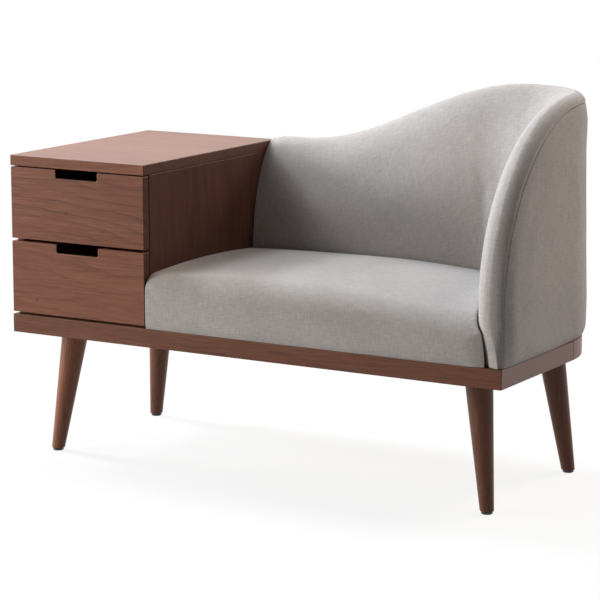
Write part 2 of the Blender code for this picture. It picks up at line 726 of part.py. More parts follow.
def pad_ring(station):
    """Section of the padding: the roll over the frame's edge, the inner face, and the slot for the frame."""
    along, height, direction, length = station
    roll = float(roll_height(height, along))
    angle = np.radians(ROLL_ANGLES)
    roll_depth = -GAP - roll * np.sin(angle)
    roll_inset = SEAM_INSET + (ridge_inset(along) - SEAM_INSET) * (1 - np.cos(angle))
    near = np.array(PAD_DEPTHS)
    far = near[-1] + (length + roll - near[-1]) * np.array(PAD_SHARES)
    below_ridge = np.concatenate([near, far])
    inner_depth = below_ridge - roll
    where = along + direction.x * inner_depth
    seam = seam_height(where)
    seat_depth = seam + roll_height(seam, where) - SEAT_LEVEL
    held = np.minimum(np.minimum(below_ridge, seat_depth), arm_depth(where))
    inner_inset = pad_inset(held, where)
    behind = FRAME_INSET + FRAME_THICKNESS + GAP
    over = FRAME_MARGIN - GAP
    depths = np.concatenate([roll_depth, inner_depth, [length, over, over, -GAP]])
    insets = np.concatenate([roll_inset, inner_inset, [behind, behind, FRAME_INSET, FRAME_INSET]])
    return on_station(station, depths, insets)


def cover_ring(station):
    """Section of the outer cover: eased at the seam, bulging, and drawn in to the rail at its foot."""
    _, height, direction, length = station
    near = np.array(COVER_DEPTHS)
    far = COVER_EASE + (length - COVER_EASE) * np.array(COVER_SHARES)
    depths = np.concatenate([near, far])
    rise = height + direction.y * depths - SEAT_FLOOR
    eased = quarter_round(depths / COVER_EASE)
    lean = rise / (SEAM_HIGH - SEAT_FLOOR)
    bulge = COVER_BULGE + (COVER_TOP_BULGE - COVER_BULGE) * lean
    insets = SEAM_INSET * (1 - eased) - bulge * eased * quarter_round(rise / COVER_FOOT)
    lining = FRAME_INSET - GAP
    depths = np.concatenate([depths, [length, 0.0]])
    insets = np.concatenate([insets, [lining, lining]])
    return on_station(station, depths, insets)


def frame_ring(station):
    """Section of the bent frame: a plain strip that stands on the rails."""
    length = station[3]
    near = FRAME_INSET
    far = FRAME_INSET + FRAME_THICKNESS
    depths = np.array([FRAME_MARGIN, length, length, FRAME_MARGIN])
    return on_station(station, depths, np.array([near, near, far, far]))


def frame_bolts(bench, rails, frame, steel):
    """Bolts that come up through the rails into the frame's lower edge."""
    inset = FRAME_INSET + FRAME_THICKNESS / 2
    places = {
        "arm": ("right_rail", BOLT_FROM_FRONT),
        "corner": ("back_rail", CORNER_END + BOLT_FROM_CABINET),
        "cabinet": ("back_rail", BACK_END - BOLT_FROM_CABINET),
    }
    shank = FRAME_BOLT_DIAMETER / 2
    head = FRAME_BOLT_HEAD_DIAMETER / 2
    shoulder = FRAME_BOLT_HEAD_HEIGHT
    tip = shoulder + FRAME_BOLT_LENGTH
    for name, (rail, along) in places.items():
        x, y = plan_point(along, inset)
        origin = (float(x), float(y), RAIL_BOTTOM + FRAME_BOLT_RECESS)
        profile = [(0, 0), (head, 0), (head, shoulder), (shank, shoulder), (shank, tip), (0, tip)]
        place("frame_bolt_" + name, turned(profile, BOLT_SIDES), steel, bench, origin, True)
        below = -2 * FRAME_BOLT_RECESS
        hole = [
            (0, below), (head + GAP, below), (head + GAP, shoulder + GAP),
            (shank + GAP, shoulder + GAP), (shank + GAP, tip + GAP), (0, tip + GAP),
        ]
        tool = cutter("frame_bolt_hole_" + name, turned(hole, BOLT_SIDES), bench, origin)
        bore(rails[rail], tool)
        bore(frame, tool)


def seat_hem(along):
    """Plan of the line where the cushion meets the padding, from the arm round the corner to the back."""
    seam = seam_height(along)
    depth = np.minimum(arm_depth(along), seam + roll_height(seam, along) - SEAT_LEVEL)
    x, y = plan_point(along, pad_inset(depth, along) + SEAT_CLEARANCE)
    return np.stack([x, y], axis=-1)


def seat_plan():
    """Grid of plan points that fills the space between cabinet, front, arm and back.

    Each point blends the four edges: the front and the hem along the back from side to side, and the
    cabinet and the hem along the arm from front to back.
    """
    left = CABINET_WIDTH + GAP
    back_left = float(seat_hem(np.array([BACK_END]))[0, 1])
    rounding = SEAT_SIDE_ROUND * np.array(SEAT_ROUND_SHARES)
    bend = SEAT_FRONT_ROUND * (1 - np.cos(np.linspace(0, math.pi / 2, SEAT_BEND_ROWS)))
    flat = back_left - SEAT_SIDE_ROUND - SEAT_FRONT_ROUND
    crowded = np.linspace(0, 1, SEAT_FLAT_ROWS + 1)[1:] ** SEAT_ROW_CROWDING
    rows = np.concatenate([bend, SEAT_FRONT_ROUND + flat * crowded, back_left - rounding[-2::-1]])
    share = (rows / back_left)[:, None, None]
    past_bend = np.clip((rows - SEAT_FRONT_ROUND) / (back_left - SEAT_FRONT_ROUND), 0, 1)
    along_arm = np.minimum(rows, SEAT_FRONT_ROUND) + past_bend * (CORNER_MIDDLE - SEAT_FRONT_ROUND)
    width = BASE_LENGTH - left
    rim = rounding / width
    middle = np.linspace(rim[-1], 1 - rim[-1], SEAT_COLUMNS + 1)[1:-1]
    across = np.concatenate([rim, middle, 1 - rim[::-1]])
    column = across[None, :, None]
    arm_side = seat_hem(along_arm)[:, None, :]
    cabinet_side = np.stack([np.full(len(rows), left), rows], axis=-1)[:, None, :]
    back_side = seat_hem(BACK_END + (CORNER_MIDDLE - BACK_END) * across)[None, :, :]
    front_corner = arm_side[0, 0]
    front_side = np.stack([left + (front_corner[0] - left) * across, across * 0], axis=-1)[None, :, :]
    front_side[0, -1] = front_corner
    far_left = back_side[0, 0]
    far_right = back_side[0, -1]
    corners = (1 - share) * ((1 - column) * front_side[0, 0] + column * front_corner)
    corners = corners + share * ((1 - column) * far_left + column * far_right)
    plan = (1 - share) * front_side + share * back_side
    plan = plan + (1 - column) * cabinet_side + column * arm_side - corners
    return plan, rows / back_left, across


def seat_cushion(bench, fabric):
    """Crowned cushion, rounded most along its front and drawn in a little where it meets the rail."""
    plan, back_share, across = seat_plan()
    bow_across = 4 * (back_share * (1 - back_share))[:, None]
    bow_along = 4 * (across * (1 - across))[None, :]
    width = BASE_LENGTH - CABINET_WIDTH
    towards_arm = smooth_step(across * width / SEAT_ROUND_CHANGE)[None, :]
    rounding = SEAT_END_ROUND + (SEAT_FRONT_ROUND - SEAT_END_ROUND) * towards_arm
    front_drop = rounding * (1 - quarter_round(np.maximum(plan[..., 1], 0) / rounding))
    off_side = np.minimum(across, 1 - across)[None, :] * width
    off_back = (1 - back_share)[:, None] * BASE_DEPTH
    side_drop = 1 - quarter_round(np.minimum(off_side, off_back) / SEAT_SIDE_ROUND)
    top = SEAT_LEVEL + SEAT_CROWN_ALONG * bow_along + SEAT_CROWN_ACROSS * bow_across
    top = top - front_drop - SEAT_SIDE_ROUND * side_drop

    builder = bmesh.new()
    height, count = top.shape
    grid = [
        [builder.verts.new((*plan[j, i], top[j, i])) for i in range(count)] for j in range(height)
    ]
    for lower, upper in zip(grid, grid[1:]):
        for i in range(count - 1):
            builder.faces.new((lower[i], lower[i + 1], upper[i + 1], upper[i]))
    rim = grid[0][:-1] + [row[-1] for row in grid[:-1]] + grid[-1][:0:-1] + [row[0] for row in grid[:0:-1]]
    tip = plan[0, -1, 0]
    for lift, tuck in SEAT_TUCK_TURNS:
        level = SEAT_FLOOR + SEAT_TUCK_HEIGHT * lift
        ring = []
        for vertex in rim:
            drawn_in = SEAT_TUCK * tuck * smooth_step((tip - vertex.co.x) / SEAT_FRONT_ROUND)
            ring.append(builder.verts.new((vertex.co.x, max(vertex.co.y, drawn_in), level)))
        for i in range(len(rim)):
            j = (i + 1) % len(rim)
            builder.faces.new((rim[j], rim[i], ring[i], ring[j]))
        rim = ring
    builder.faces.new(rim[::-1])
    place("seat_cushion", builder, fabric, bench, smooth=True)


def main():
    clear_scene()
    finishes = {
        "walnut": finish("walnut", (0.19, 0.085, 0.055), 0.45),
        "plywood": finish("plywood", (0.42, 0.28, 0.17), 0.6),
        "birch": finish("birch", (0.55, 0.40, 0.26), 0.5),
        "fabric": finish("grey_fabric", (0.42, 0.40, 0.38), 0.9),
        "lining": finish("frame_plywood", (0.45, 0.31, 0.19), 0.7),
        "steel": finish("zinc_steel", (0.55, 0.55, 0.56), 0.35, 1.0),
        "nylon": finish("black_nylon", (0.012, 0.012, 0.012), 0.5),
    }
    bench = empty("bench", (-OVERALL_WIDTH / 2, -OVERALL_DEPTH / 2, 0))
    rails = base_frame(bench, finishes["walnut"], finishes["plywood"])
    corners = {
        "front_left": (False, False),
        "front_right": (True, False),
        "back_left": (False, True),
        "back_right": (True, True),
    }
    for place_name, (right, back) in corners.items():
        leg(place_name, right, back, bench, finishes)
    cabinet(bench, finishes["walnut"], finishes["plywood"])
    stack = CABINET_HEIGHT - TOP_THICKNESS - GAP_UNDER_TOP - GAP_BETWEEN_FRONTS - GAP_OVER_RAIL
    front_height = stack / 2
    lower_front = RAIL_TOP + GAP_OVER_RAIL
    drawer("lower_drawer", lower_front, front_height, bench, finishes)
    upper_front = lower_front + front_height + GAP_BETWEEN_FRONTS
    drawer("upper_drawer", upper_front, front_height, bench, finishes)

    stations = sweep_stations()
    frame = loft("back_frame", [frame_ring(station) for station in stations], finishes["lining"], bench)
    loft("back_pad", [pad_ring(station) for station in stations], finishes["fabric"], bench)
    loft("outer_cover", [cover_ring(station) for station in stations], finishes["fabric"], bench)
    frame_bolts(bench, rails, frame, finishes["steel"])
    seat_cushion(bench, finishes["fabric"])


main()
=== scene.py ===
# %% [markdown]
# # Dressing a hall bench
#
# The bench is a small walnut cabinet with two drawers, joined to a padded seat whose back sweeps up
# and turns into one arm. The boards, legs and drawers arrive as finished solids, so this lesson only
# gives them their grain. The soft parts arrive as plain solids, so they are made again here as
# upholstery: surfaces worked out with numpy, stuffed by a cloth simulation, and stitched.

# %% Load the frame
import math

import bmesh
import bpy
import numpy as np
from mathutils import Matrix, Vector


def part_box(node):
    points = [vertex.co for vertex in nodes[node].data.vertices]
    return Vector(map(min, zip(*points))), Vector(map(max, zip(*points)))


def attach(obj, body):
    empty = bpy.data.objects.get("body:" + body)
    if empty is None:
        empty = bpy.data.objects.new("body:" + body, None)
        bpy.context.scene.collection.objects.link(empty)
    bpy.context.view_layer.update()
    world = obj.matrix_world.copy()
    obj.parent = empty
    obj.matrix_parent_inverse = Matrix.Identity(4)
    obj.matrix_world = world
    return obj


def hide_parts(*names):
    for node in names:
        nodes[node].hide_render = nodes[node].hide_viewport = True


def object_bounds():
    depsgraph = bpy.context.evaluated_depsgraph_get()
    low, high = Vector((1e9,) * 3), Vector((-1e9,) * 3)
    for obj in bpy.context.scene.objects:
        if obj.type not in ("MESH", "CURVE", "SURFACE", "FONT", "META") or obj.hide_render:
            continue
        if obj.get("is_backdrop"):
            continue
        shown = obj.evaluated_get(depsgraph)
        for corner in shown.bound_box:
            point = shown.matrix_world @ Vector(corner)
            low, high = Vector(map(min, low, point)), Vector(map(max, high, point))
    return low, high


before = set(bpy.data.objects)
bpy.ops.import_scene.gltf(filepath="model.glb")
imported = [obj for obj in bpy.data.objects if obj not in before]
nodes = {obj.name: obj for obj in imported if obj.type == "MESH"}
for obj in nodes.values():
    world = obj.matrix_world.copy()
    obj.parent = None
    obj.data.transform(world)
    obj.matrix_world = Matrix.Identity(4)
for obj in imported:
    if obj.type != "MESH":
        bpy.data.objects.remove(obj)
cad_low, cad_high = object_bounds()
scene = bpy.context.scene

# %% [markdown]
# ## Camera
#
# The picture was taken from the right of the front with a long lens, a little above the seat. A camera
# turned only about the upright axis and then tipped down keeps the legs and the cabinet upright in the
# frame, as they are in the picture.

# %% Camera
SHOT_PLACE = (2.60515, -4.47605, 1.3042)
SHOT_TURN = math.radians(30.492)
SHOT_TILT = math.radians(10.489)
SENSOR_WIDTH = 36.0
LENS_LENGTH = 150.84

lens = bpy.data.cameras.new("camera")
lens.sensor_width = SENSOR_WIDTH
lens.lens = LENS_LENGTH
camera = bpy.data.objects.new("camera", lens)
camera.location = SHOT_PLACE
camera.rotation_euler = (math.pi / 2 - SHOT_TILT, 0, SHOT_TURN)
scene.collection.objects.link(camera)
scene.camera = camera
print("camera", [round(v, 3) for v in camera.location])

# %% [markdown]
# ## Building node materials
#
# Every finish below is a small node tree. One helper adds a node, sets its properties and fills its
# sockets with values or links, so that a material reads from top to bottom like a recipe. The others are
# steps that most recipes need. A noise is given by its spots, its detail and sometimes its roughness.

# %% Adding nodes
WHITE = (1.0, 1.0, 1.0, 1.0)


def add_node(tree, kind, inputs=None, **settings):
    """Adds one shader node; inputs maps socket names or numbers to values or to other nodes' outputs."""
    made = tree.nodes.new("ShaderNode" + kind)
    for key, value in settings.items():
        setattr(made, key, value)
    for key, value in (inputs or {}).items():
        if isinstance(value, bpy.types.NodeSocket):
            tree.links.new(value, made.inputs[key])
        else:
            made.inputs[key].default_value = value
    return made


def add(tree, kind, inputs=None, output=0, **settings):
    """Adds one shader node and gives one of its outputs, the first unless another is named."""
    return add_node(tree, kind, inputs, **settings).outputs[output]


def blank(name):
    """A material with an empty node tree."""
    material = bpy.data.materials.new(name)
    material.use_nodes = True
    material.node_tree.nodes.clear()
    return material, material.node_tree


print("node helpers ready")

# %% Steps of a recipe
def own_place(tree):
    """A point's place in the object's own coordinates."""
    return add(tree, "TexCoord", output="Object")


def parts(tree, vector=None):
    """The outputs X, Y and Z of a vector, or of a point's own place."""
    if vector is None:
        vector = own_place(tree)
    return add_node(tree, "SeparateXYZ", {0: vector}).outputs


def math_node(tree, operation, first, second=0.0):
    """One operation on one or two numbers."""
    return add(tree, "Math", {0: first, 1: second}, operation=operation)


def weighted(tree, weights, *values):
    """The first weight plus the sum of the values times the other weights."""
    total = weights[0]
    for value, weight in zip(values, weights[1:]):
        total = add(tree, "Math", {0: value, 1: weight, 2: total}, operation="MULTIPLY_ADD")
    return total


def vector_math(tree, operation, first, second):
    """One operation on two vectors."""
    return add(tree, "VectorMath", {0: first, 1: second}, operation=operation)


def scaled(tree, vector, factors):
    """A vector multiplied part by part."""
    return vector_math(tree, "MULTIPLY", vector, factors)


def length_of(tree, vector):
    """The length of a vector."""
    return add(tree, "VectorMath", {0: vector}, "Value", operation="LENGTH")


def noise(tree, vector, spots, detail, roughness=0.5, output="Fac"):
    """Cloudy noise, with so many spots to the metre along each axis."""
    inputs = {"Vector": scaled(tree, vector, spots), "Scale": 1.0, "Detail": detail}
    return add(tree, "TexNoise", {**inputs, "Roughness": roughness}, output)


def ramp(tree, factor, places, colours):
    """A colour ramp with one colour at each of its places."""
    made = add_node(tree, "ValToRGB", {0: factor})
    elements = made.color_ramp.elements
    while len(elements) < len(places):
        elements.new(places[1])
    for element, place, colour in zip(elements, places, colours):
        element.position = place
        element.color = (*colour, 1.0)
    return made.outputs[0]


def spread(tree, value, low, high, to_low, to_high):
    """Maps a value from one range to another, held at both ends."""
    inputs = {"Value": value, "From Min": low, "From Max": high, "To Min": to_low, "To Max": to_high}
    return add(tree, "MapRange", inputs)


def finish_surface(tree, base, rough, height, bump, more):
    """Ends a material in one principled shader; bump is the strength and the depth of the relief."""
    normal = add(tree, "Bump", {"Height": height, "Strength": bump[0], "Distance": bump[1]})
    inputs = {"Base Color": base, "Roughness": rough, "Normal": normal, **more}
    add_node(tree, "OutputMaterial", {"Surface": add(tree, "BsdfPrincipled", inputs)})


print("recipe steps ready")

# %% [markdown]
# ## Studio
#
# The bench stands on a plain pale floor in front of white. The world is white only for rays that reach
# the camera directly or in a reflection; the light on the bench comes from lamps and a faint ambient.
# The floor fades to that same white away from the bench, so no horizon shows, and keeps the soft shadow.
# To light that bounces it is a darker grey, so that legs and undersides keep their shade.

# %% World and floor
AMBIENT = 0.02
FLOOR_COLOUR = 0.86
FLOOR_BOUNCE = 0.35
FLOOR_HALF = 9.0
FADE_START = 0.45
FADE_END = 1.25
LEAST_FADE = 0.85
FLOOR_DROP = 0.0004


def seen_directly(tree):
    """1 for rays that show the background: from the camera, in a reflection or through glass."""
    path = add_node(tree, "LightPath").outputs
    either = math_node(tree, "MAXIMUM", path["Is Camera Ray"], path["Is Glossy Ray"])
    return math_node(tree, "MAXIMUM", either, path["Is Transmission Ray"])


def white_world():
    """White to the eye, with only a faint light of its own."""
    world = bpy.data.worlds.new("studio")
    scene.world = world
    world.use_nodes = True
    tree = world.node_tree
    tree.nodes.clear()
    ambient = add(tree, "Background", {"Color": WHITE, "Strength": AMBIENT})
    white = add(tree, "Background", {"Color": WHITE, "Strength": 1.0})
    shown = add(tree, "MixShader", {0: seen_directly(tree), 1: ambient, 2: white})
    add_node(tree, "OutputWorld", {"Surface": shown})


def pale_floor():
    """A matt floor whose colour gives way to plain white with the distance from the bench."""
    material, tree = blank("floor")
    far = spread(tree, length_of(tree, own_place(tree)), FADE_START, FADE_END, LEAST_FADE, 1.0)
    seen = seen_directly(tree)
    matt = add(tree, "BsdfDiffuse", {"Color": spread(tree, seen, 0.0, 1.0, FLOOR_BOUNCE, FLOOR_COLOUR)})
    white = add(tree, "Emission", {"Color": WHITE, "Strength": 1.0})
    shown = add(tree, "MixShader", {0: math_node(tree, "MULTIPLY", far, seen), 1: matt, 2: white})
    add_node(tree, "OutputMaterial", {"Surface": shown})
    mesh = bpy.data.meshes.new("floor")
    edge = np.array([[-1, -1], [1, -1], [1, 1], [-1, 1]]) * FLOOR_HALF
    corners = np.column_stack([edge, np.full(4, -FLOOR_DROP)])
    mesh.from_pydata(corners.tolist(), [], [(0, 1, 2, 3)])
    mesh.materials.append(material)
    floor = bpy.data.objects.new("floor", mesh)
    scene.collection.objects.link(floor)
    floor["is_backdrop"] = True


white_world()
pale_floor()
scene.view_settings.view_transform = "Standard"
print("floor", 2 * FLOOR_HALF, "m square")

# %% [markdown]
# ## Lamps
#
# The light comes from the left, as from windows: a small lamp half way up, which draws the cabinet's
# shadow on the back and the seat, two lower ones beside it, and a high one behind the cabinet. A weak one
# in front lifts the seat. Two warm lamps at the rear right bring out the outside of the arm. Each is given
# by its place, its size, its colour and the level of light that it brings to the bench, where 1 shows a
# colour as it is written.

# %% Lamps
AIM = np.array([0.0, 0.0, 0.45])
COOL = (0.915, 1.0, 1.08)
MILD = (1.06, 0.99, 0.93)
WARM = (1.13, 0.98, 0.88)
LAMPS = {
    "left": ((-3.85, 0.47, 3.61), 0.8, 0.50, COOL),
    "left_middle": ((-4.70, 0.0, 2.16), 1.6, 0.56, COOL),
    "left_low": ((-4.29, -2.48, 1.15), 1.6, 0.64, MILD),
    "left_high": ((-2.17, 1.25, 4.78), 1.6, 0.42, COOL),
    "front": ((-2.81, -3.12, 3.17), 1.6, 0.25, MILD),
    "rear_high": ((2.48, 1.43, 4.55), 1.6, 0.25, WARM),
    "rear_right": ((2.17, 3.75, 2.95), 1.6, 0.44, WARM),
}


def lamp(name, place, size, level, colour):
    """A square lamp that faces the bench; its power is level times pi squared times distance squared."""
    data = bpy.data.lights.new(name, "AREA")
    data.size = size
    data.color = colour
    towards = AIM - np.array(place)
    data.energy = level * math.pi**2 * float(towards @ towards)
    made = bpy.data.objects.new(name, data)
    made.location = place
    tip = math.atan2(math.hypot(towards[0], towards[1]), -towards[2])
    made.rotation_euler = (tip, 0, math.atan2(towards[1], towards[0]) - math.pi / 2)
    made.visible_camera = False
    scene.collection.objects.link(made)


for lamp_name, lamp_values in LAMPS.items():
    lamp(lamp_name, *lamp_values)
print("lamps:", ", ".join(LAMPS))

# %% [markdown]
# ## Walnut
#
# The cabinet, rails and legs are walnut under a satin lacquer. Its grain is long and thin, so the pattern
# is worked out in board coordinates, with x along the grain, and squeezed along x. Growth lines are a
# saw-tooth wave over a slightly swaying coordinate; broad bands, fine streaks and short pores lie over it.
# A photograph of veneer would be quicker, but nodes on object coordinates also give right edges and ends.
# Sawn ends drink more of the finish and are darker; that darkening is also painted shade, as deep as on
# the shaded right side. The bent rail's grain follows its bend.

# %% Grain
ALONG_X = (0.0, 0.0, 0.0)
ALONG_Y = (0.0, 0.0, -math.pi / 2)
ALONG_Z = (0.0, math.pi / 2, 0.0)
GRAIN_STRETCH = (0.10, 1.0, 1.0)
SWAY_NOISE = ((7.0, 13.0, 13.0), 2.0)
HALF = (0.5, 0.5, 0.5)
DIAGONAL_WAVE = 0.2 * math.pi
LINE_KIND = {"wave_type": "BANDS", "bands_direction": "DIAGONAL", "wave_profile": "SAW"}
LINE_WAVE = {"Distortion": 3.0, "Detail": 3.0, "Detail Scale": 0.8, "Detail Roughness": 0.6}
LINE_SHARPNESS = 3.5
PATCH_NOISE = ((1.6, 16.0, 16.0), 2.0)
PATCH_RANGE = (0.35, 0.65, 0.25, 1.0)


def board_place(tree, turn, shift):
    """Object coordinates turned so that x runs along the grain, and shifted along the log."""
    return add(tree, "Mapping", {"Vector": own_place(tree), "Location": shift, "Rotation": turn})


def bent_place(tree, low, high, shift):
    """Board coordinates of a quarter ring between two corners of its box: x is the length along the bend."""
    off_centre = vector_math(tree, "SUBTRACT", own_place(tree), (low.x, low.y, 0.0))
    part = parts(tree, off_centre)
    turned = math_node(tree, "ARCTAN2", part["Y"], part["X"])
    away = length_of(tree, scaled(tree, off_centre, (1.0, 1.0, 0.0)))
    run = weighted(tree, (low.y, high.x - low.x), turned)
    aside = weighted(tree, (-low.x, -1.0), away)
    unbent = add(tree, "CombineXYZ", {"X": run, "Y": aside, "Z": part["Z"]})
    return vector_math(tree, "ADD", unbent, shift)


def growth_lines(tree, laid, gap, sway):
    """Growth lines, 0 to 1: a wave every gap metres over a swaying coordinate, stronger in some places."""
    wander = noise(tree, laid, *SWAY_NOISE, output="Color")
    aside = scaled(tree, vector_math(tree, "SUBTRACT", wander, HALF), (0.0, 2 * sway, 2 * sway))
    swayed = vector_math(tree, "ADD", scaled(tree, laid, GRAIN_STRETCH), aside)
    inputs = {"Vector": swayed, "Scale": DIAGONAL_WAVE / gap, **LINE_WAVE}
    wave = add(tree, "TexWave", inputs, "Fac", **LINE_KIND)
    strength = spread(tree, noise(tree, laid, *PATCH_NOISE), *PATCH_RANGE)
    return math_node(tree, "MULTIPLY", math_node(tree, "POWER", wave, LINE_SHARPNESS), strength)


print("grain ready")

# %% Ends, knots and notches
KNOT_SHAPE = (190.0, 0.0, 260.0)
NOTCH_WIDTH = 0.105
NOTCH_DEPTH = 0.018
NOTCH_EDGE = 0.0012
END_EDGE = 0.0008
# Tone of the sawn ends: darker end grain, with painted shade in it.
END_GRAIN_AND_SHADE_TONE = 0.42
PLAIN_POLISH = 0.25


def knot(tree, low, offset):
    """1 at a small knot on a front, given by its x and z from the box's low corner, 0 beyond its edge."""
    centre = (low.x + offset[0], low.y, low.z + offset[1])
    away = vector_math(tree, "SUBTRACT", own_place(tree), centre)
    return spread(tree, length_of(tree, scaled(tree, away, KNOT_SHAPE)), 0.0, 1.0, 1.0, 0.0)


def from_middle(tree, low, high):
    """The distance of x from the middle of a box."""
    x = parts(tree)["X"]
    return math_node(tree, "ABSOLUTE", math_node(tree, "SUBTRACT", x, (low.x + high.x) / 2))


def notch_painted_shade(tree, low, high):
    """1 on the walls of the finger notch in a drawer front's top edge, where shade is painted black, 0
    elsewhere.
    """
    part = parts(tree)
    beside = math_node(tree, "LESS_THAN", from_middle(tree, low, high), NOTCH_WIDTH / 2 + NOTCH_EDGE)
    above = math_node(tree, "GREATER_THAN", part["Z"], high.z - NOTCH_DEPTH - NOTCH_EDGE)
    behind = spread(tree, part["Y"], low.y + NOTCH_EDGE, low.y + 2 * NOTCH_EDGE, 0.0, 1.0)
    return math_node(tree, "MULTIPLY", math_node(tree, "MULTIPLY", beside, above), behind)


def sawn_ends(tree, low, high):
    """The tone of a board along x: darker on its sawn ends, for end grain and painted shade, else 1."""
    half = (high.x - low.x) / 2
    return spread(tree, from_middle(tree, low, high), half - 2 * END_EDGE, half - END_EDGE, 1.0, END_GRAIN_AND_SHADE_TONE)


def top_polish(tree, high, polish):
    """The gloss of a board whose upper face is polished more than its edges."""
    z = parts(tree)["Z"]
    return spread(tree, z, high.z - 2 * END_EDGE, high.z - END_EDGE, PLAIN_POLISH, polish)


print("ends, knots and notches ready")

# %% Walnut
WALNUT_COLOURS = np.array([[0.092, 0.034, 0.019], [0.190, 0.071, 0.038], [0.275, 0.114, 0.064]])
WALNUT_STOPS = (0.10, 0.50, 0.92)
WALNUT_BROAD = ((1.3, 13.0, 13.0), 3.0)
WALNUT_STREAKS = ((14.7, 420.0, 420.0), 3.0, 0.6)
WALNUT_PORES = ((75.0, 1500.0, 1500.0), 1.0)
PORE_RANGE = (0.60, 0.72, 0.0, 1.0)
LIGHT_START = -0.195
BROAD_WEIGHT = 0.55
PORE_WEIGHT = -0.18
KNOT_WEIGHT = -0.45
WALNUT_RELIEF = (0.0, 0.4, -1.0)
WALNUT_BUMP = (0.22, 0.0002)
WALNUT_ROUGHNESS = (0.3, 0.7, 0.36, 0.46)
PLAIN_SWAY = 0.020


def walnut(node, laying, tone, gap, depth, sway=PLAIN_SWAY, polish=PLAIN_POLISH, sawn=False, knot_at=None):
    """Walnut for one board: growth lines gap metres apart, as dark as depth says, and a gloss.

    Laying makes the board coordinates. Sawn boards show their ends, darker for end grain and painted shade.
    A drawer front has the place of a knot, and the walls of its notch are painted black as shade.
    """
    material, tree = blank("walnut_" + node)
    low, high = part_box(node)
    laid = laying(tree)
    lines = growth_lines(tree, laid, gap, sway)
    broad = noise(tree, laid, *WALNUT_BROAD)
    streaks = noise(tree, laid, *WALNUT_STREAKS)
    pores = spread(tree, noise(tree, laid, *WALNUT_PORES), *PORE_RANGE)
    weights = (LIGHT_START, BROAD_WEIGHT, 1.0, -depth, PORE_WEIGHT)
    light = weighted(tree, weights, broad, streaks, lines, pores)
    if knot_at is not None:
        light = weighted(tree, (light, KNOT_WEIGHT), knot(tree, low, knot_at))
    base = ramp(tree, light, WALNUT_STOPS, WALNUT_COLOURS * tone)
    if sawn:
        shade = sawn_ends(tree, low, high)
        if knot_at is not None:
            # Shade painted black on the walls of the finger notch.
            outside_notch_shade = math_node(tree, "SUBTRACT", 1.0, notch_painted_shade(tree, low, high))
            shade = math_node(tree, "MULTIPLY", shade, outside_notch_shade)
        base = add(tree, "VectorMath", {0: base, "Scale": shade}, operation="SCALE")
        if polish > PLAIN_POLISH:
            polish = top_polish(tree, high, polish)
    relief = weighted(tree, WALNUT_RELIEF, streaks, pores)
    rough = spread(tree, streaks, *WALNUT_ROUGHNESS)
    finish_surface(tree, base, rough, relief, WALNUT_BUMP, {"Specular IOR Level": polish})
    return material


print("walnut ready")

# %% [markdown]
# ## Boards
#
# Every board is cut from its own place in the log, so that no two show the same figure. A board has its
# laying, its tone, and the gap and the depth of its growth lines. The corner rail is the end of the right
# rail, bent. Boards that stand in shade in the picture get a darker tone, which is painted shade; the
# cabinet's right side is also made bluer, a painted reflection of the white around it. The front left leg,
# which stands in full light, gets a lighter tone, which is painted light.

# %% Boards
# Painted shade and reflection on the cabinet's right side: darker for its shade, bluer for the white it
# reflects.
SHADE_AND_REFLECTION_TONE = np.array((0.40, 0.43, 0.56))
RAIL_LOOK = (0.73, 0.040, 0.12)
RIGHT_LOG = (2.8, 0.9, 0.1)
# Painted light and shade on the legs: the front left leg lighter for the light on it, the others darker for
# their shade.
LEG_LIGHT_AND_SHADE = {"front_left": 1.10, "front_right": 0.68, "back_left": 0.62, "back_right": 0.62}
LEG_LINES = (0.020, 0.15)
LEG_STEP = 0.8
LEG_SHIFT = 0.23
LEG_LEVEL = 0.1


def straight(turn, *shift):
    """The laying of a straight board: the turn of its grain and its place in the log."""
    return lambda tree: board_place(tree, turn, shift)


def curved(node, *shift):
    """The laying of a bent board."""
    return lambda tree: bent_place(tree, *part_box(node), shift)


BOARDS = {
    "cabinet_top": (straight(ALONG_X, 0.0, 0.3, 0.0), 1.0, 0.040, 0.24),
    "upper_drawer_front": (straight(ALONG_X, 0.9, 0.0, 0.11), 0.92, 0.022, 0.42),
    "lower_drawer_front": (straight(ALONG_X, 2.3, 0.0, 0.47), 0.97, 0.036, 0.22),
    "cabinet_left_side": (straight(ALONG_Z, 1.2, 0.5, 0.0), 0.73, 0.045, 0.16),
    "cabinet_right_side": (straight(ALONG_Z, 4.2, 0.2, 0.0), SHADE_AND_REFLECTION_TONE, 0.045, 0.20),
    "front_rail": (straight(ALONG_X, 3.1, 0.7, 0.2), *RAIL_LOOK),
    "back_rail": (straight(ALONG_X, 5.7, 0.1, 0.3), *RAIL_LOOK),
    "left_rail": (straight(ALONG_Y, 1.9, 0.4, 0.6), *RAIL_LOOK),
    "right_rail": (straight(ALONG_Y, *RIGHT_LOG), *RAIL_LOOK),
    "corner_rail": (curved("corner_rail", *RIGHT_LOG), *RAIL_LOOK),
}
for leg_number, (leg_name, leg_shade_tone) in enumerate(LEG_LIGHT_AND_SHADE.items()):
    leg_laying = straight(ALONG_Z, LEG_STEP * leg_number, LEG_SHIFT * leg_number, LEG_LEVEL)
    BOARDS["leg_" + leg_name] = (leg_laying, leg_shade_tone, *LEG_LINES)
SPECIAL = {
    "cabinet_top": {"polish": 0.62, "sawn": True},
    "upper_drawer_front": {"sway": 0.014, "sawn": True, "knot_at": (0.141, 0.060)},
    "lower_drawer_front": {"sawn": True, "knot_at": (0.062, 0.030)},
    "cabinet_right_side": {"polish": 0.12},
    "right_rail": {"polish": 0.5},
    "corner_rail": {"polish": 0.5},
}
finishes = {node: walnut(node, *look, **SPECIAL.get(node, {})) for node, look in BOARDS.items()}
print("walnut boards:", len(finishes))

# %% [markdown]
# ## The hidden woods, the metal and the glides
#
# Behind the fronts are birch drawer boxes, plywood panels and zinc-plated slides. They show when a drawer
# is open, so they get a grain, the layers of the plywood's edge, and a brushed, blotchy zinc.

